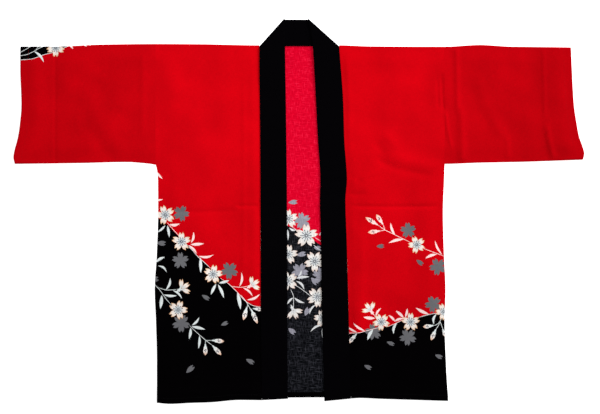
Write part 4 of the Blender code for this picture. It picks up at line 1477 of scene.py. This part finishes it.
def stitchTree():
    tree = bpy.data.node_groups.new("stitch row", "GeometryNodeTree")
    labels = {}
    for label, kind in (
        ("Geometry", "NodeSocketGeometry"), ("Spacing", "NodeSocketFloat"), ("Size", "NodeSocketVector"),
        ("Unevenness", "NodeSocketFloat"), ("Seed", "NodeSocketInt"), ("Material", "NodeSocketMaterial"),
    ):
        labels[label] = tree.interface.new_socket(label, in_out="INPUT", socket_type=kind).identifier
    tree.interface.new_socket("Geometry", in_out="OUTPUT", socket_type="NodeSocketGeometry")

    def add(kind, **settings):
        return addNode(tree, kind, **settings)

    entry, leave = add("NodeGroupInput"), add("NodeGroupOutput")
    curve = add("GeometryNodeMeshToCurve")
    points = add("GeometryNodeCurveToPoints", mode="LENGTH")
    grain = add("GeometryNodeMeshUVSphere")
    for label, value in (("Segments", 6), ("Rings", 4), ("Radius", 0.5)):
        grain.inputs[label].default_value = value
    turn = add("FunctionNodeAlignRotationToVector", axis="X")
    uneven = add("FunctionNodeRandomValue", data_type="FLOAT")
    lowest = add("ShaderNodeMath", operation="SUBTRACT")
    size = add("ShaderNodeVectorMath", operation="SCALE")
    instances = add("GeometryNodeInstanceOnPoints")
    real = add("GeometryNodeRealizeInstances")
    paint = add("GeometryNodeSetMaterial")
    lowest.inputs[0].default_value = 1
    uneven.inputs[3].default_value = 1
    for start, end in (
        (entry.outputs["Geometry"], curve.inputs["Mesh"]),
        (curve.outputs["Curve"], points.inputs["Curve"]),
        (entry.outputs["Spacing"], points.inputs["Length"]),
        (points.outputs["Points"], instances.inputs["Points"]),
        (points.outputs["Tangent"], turn.inputs["Vector"]),
        (turn.outputs["Rotation"], instances.inputs["Rotation"]),
        (grain.outputs["Mesh"], instances.inputs["Instance"]),
        (entry.outputs["Unevenness"], lowest.inputs[1]),
        (lowest.outputs[0], uneven.inputs[2]),
        (entry.outputs["Seed"], uneven.inputs["Seed"]),
        (entry.outputs["Size"], size.inputs[0]),
        (uneven.outputs[1], size.inputs["Scale"]),
        (size.outputs[0], instances.inputs["Scale"]),
        (instances.outputs["Instances"], real.inputs["Geometry"]),
        (real.outputs["Geometry"], paint.inputs["Geometry"]),
        (entry.outputs["Material"], paint.inputs["Material"]),
        (paint.outputs["Geometry"], leave.inputs["Geometry"]),
    ):
        tree.links.new(start, end)
    return tree, labels


stitchRow, stitchLabels = stitchTree()
threadFinishes = {name: threadFinish(name) for name in threadTones}


def sewn(name, place, outward, seams, thread):
    # each seam is a line of places on the cut; outward is the side of the cloth that it shows on
    verts, edges = [], []
    for seam in seams:
        surface = place(*seam.T) + wallNormals(place, seam) * outward * (wall / 2 - sewing["sunk"])
        edges += [(len(verts) + i, len(verts) + i + 1) for i in range(len(surface) - 1)]
        verts += surface.tolist()
    mesh = bpy.data.meshes.new(name)
    mesh.from_pydata(verts, edges, [])
    line = placed(name + "Line", mesh)
    modifier = line.modifiers.new("stitches", "NODES")
    modifier.node_group = stitchRow
    for label, value in (
        ("Spacing", sewing["spacing"]), ("Size", (sewing["length"], sewing["breadth"], sewing["height"])),
        ("Unevenness", sewing["unevenness"]), ("Seed", sewing["seed"]), ("Material", threadFinishes[thread]),
    ):
        modifier[stitchLabels[label]] = value
    ready = line.evaluated_get(bpy.context.evaluated_depsgraph_get())
    plain = bpy.data.meshes.new_from_object(ready)
    plain.polygons.foreach_set("use_smooth", np.ones(len(plain.polygons), dtype=bool))
    bpy.data.objects.remove(line)
    print("coat:", name, len(plain.polygons), "faces")
    return placed(name, plain)


def upright(u, start, end):
    v = spread(start + sewing["fromEnd"], end - sewing["fromEnd"], sewing["step"])
    return np.column_stack([np.full(len(v), u), v])


def alongHem(sizes):
    return [upright(sizes["faceStart"] + sewing["hemUp"], 0, sizes["width"])[:, ::-1]]


def aroundCuff(sizes):
    u = sizes["length"] - sewing["cuffIn"]
    return [upright(u, sizes["faceStart"], sizes["faceEnd"]), upright(u, sizes["backStart"], sizes["around"])]


def alongCollar(sizes):
    return [upright(sizes["width"] - sewing["collarIn"], start, end) for start, end in sizes["runs"]]


print("coat: sewing")
leftCuff, rightCuff = aroundCuff(sleeveLeftSizes), aroundCuff(sleeveRightSizes)
backStitches = sewn("backStitches", backPlace, 1, alongHem(backSizes), "black thread")
frontLeftStitches = sewn("frontLeftStitches", frontLeftPlace, 1, alongHem(frontLeftSizes), "black thread")
frontRightStitches = sewn("frontRightStitches", frontRightPlace, -1, alongHem(frontRightSizes), "black thread")
sleeveLeftStitches = sewn("sleeveLeftStitches", sleeveLeftPlace, -1, leftCuff, "red thread")
sleeveRightStitches = sewn("sleeveRightStitches", sleeveRightPlace, 1, rightCuff, "red thread")
collarStitches = sewn("collarStitches", collarPlace, 1, alongCollar(collarSizes), "black thread")

for piece, sewnRow, node, finish in (
    (back, backStitches, "back", "print_cloth"),
    (frontLeft, frontLeftStitches, "front_left", "print_cloth"),
    (frontRight, frontRightStitches, "front_right", "print_cloth"),
    (sleeveLeft, sleeveLeftStitches, "sleeve_left", "print_cloth"),
    (sleeveRight, sleeveRightStitches, "sleeve_right", "print_cloth"),
    (collar, collarStitches, "collar", "collar_cloth"),
):
    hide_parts(node)
    for part in (piece, sewnRow):
        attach(part, "root")

for piece, sewnRow, sizes, restsOn in (
    (back, backStitches, backSizes, []),
    (frontLeft, frontLeftStitches, frontLeftSizes, [back]),
    (frontRight, frontRightStitches, frontRightSizes, [back]),
    (collar, collarStitches, collarSizes, [back]),
):
    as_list(restsOn)

# The studio

studio = {
    "floorSize": 9,
    "floorBelow": 0.3 * mm,
    "floorTone": 0.94,
    "floorGlow": 0.8,
    "floorRoughness": 0.9,
    "floorShine": 0.1,
    "worldStrength": 0.44,
    "keyShare": 0.60,
    "keyHeight": 21,
    "keyTurn": 48,
    "keySpread": 26,
    "keyAway": 3,
    "poolShare": 0.50,
    "poolAt": (0, -0.75, 3.2),
    "poolTo": (0.02, 0.27, 0),
    "poolCone": 24,
    "poolSize": 0.3,
    "lens": 85,
    "sensor": 36,
    "viewWidth": 1.32,
    "viewCentre": (0.00253, 0.00946),
}


def studioFloor():
    half, below = studio["floorSize"] / 2, -studio["floorBelow"]
    mesh = bpy.data.meshes.new("floor")
    corners = [(x * half, y * half, below) for x, y in ((-1, -1), (1, -1), (1, 1), (-1, 1))]
    mesh.from_pydata(corners, [], [(0, 1, 2, 3)])
    paper, _, shader = newFinish("pale paper")
    for label, value in (
        ("Base Color", (*[studio["floorTone"]] * 3, 1)), ("Roughness", studio["floorRoughness"]),
        ("Specular IOR Level", studio["floorShine"]), ("Emission Color", (1, 1, 1, 1)),
        ("Emission Strength", studio["floorGlow"]),
    ):
        shader.inputs[label].default_value = value
    mesh.materials.append(paper)
    placed("floor", mesh)


def studioLights():
    # a broad low key from the upper right that finds the creases, and a soft pool over the middle
    height, turn = radians(studio["keyHeight"]), radians(studio["keyTurn"])
    key = bpy.data.lights.new("key", "SUN")
    key.energy = studio["keyShare"] * pi / sin(height)
    key.angle = radians(studio["keySpread"])
    sun = placed("key", key)
    sun.location = studio["keyAway"] * Vector((*(aimed(turn) * cos(height)), sin(height)))
    sun.rotation_euler = sun.location.to_track_quat("Z", "Y").to_euler()
    pool = bpy.data.lights.new("pool", "SPOT")
    at, to = Vector(studio["poolAt"]), Vector(studio["poolTo"])
    pool.energy = studio["poolShare"] * 4 * pi**2 * (at - to).length ** 2
    pool.spot_size = radians(studio["poolCone"])
    pool.spot_blend = 1
    pool.shadow_soft_size = studio["poolSize"]
    lamp = placed("pool", pool)
    lamp.location = at
    lamp.rotation_euler = (at - to).to_track_quat("Z", "Y").to_euler()
    world = bpy.data.worlds.new("studio")
    world.use_nodes = True
    background = world.node_tree.nodes["Background"]
    background.inputs["Color"].default_value = (1, 1, 1, 1)
    background.inputs["Strength"].default_value = studio["worldStrength"]
    bpy.context.scene.world = world


def studioCamera():
    lens = bpy.data.cameras.new("camera")
    lens.lens = studio["lens"]
    lens.sensor_width = studio["sensor"]
    camera = placed("camera", lens)
    camera.location = (*studio["viewCentre"], studio["viewWidth"] * studio["lens"] / studio["sensor"])
    bpy.context.scene.camera = camera


print("coat: studio")
studioFloor()
studioLights()
studioCamera()
bpy.context.scene.view_settings.view_transform = "Standard"
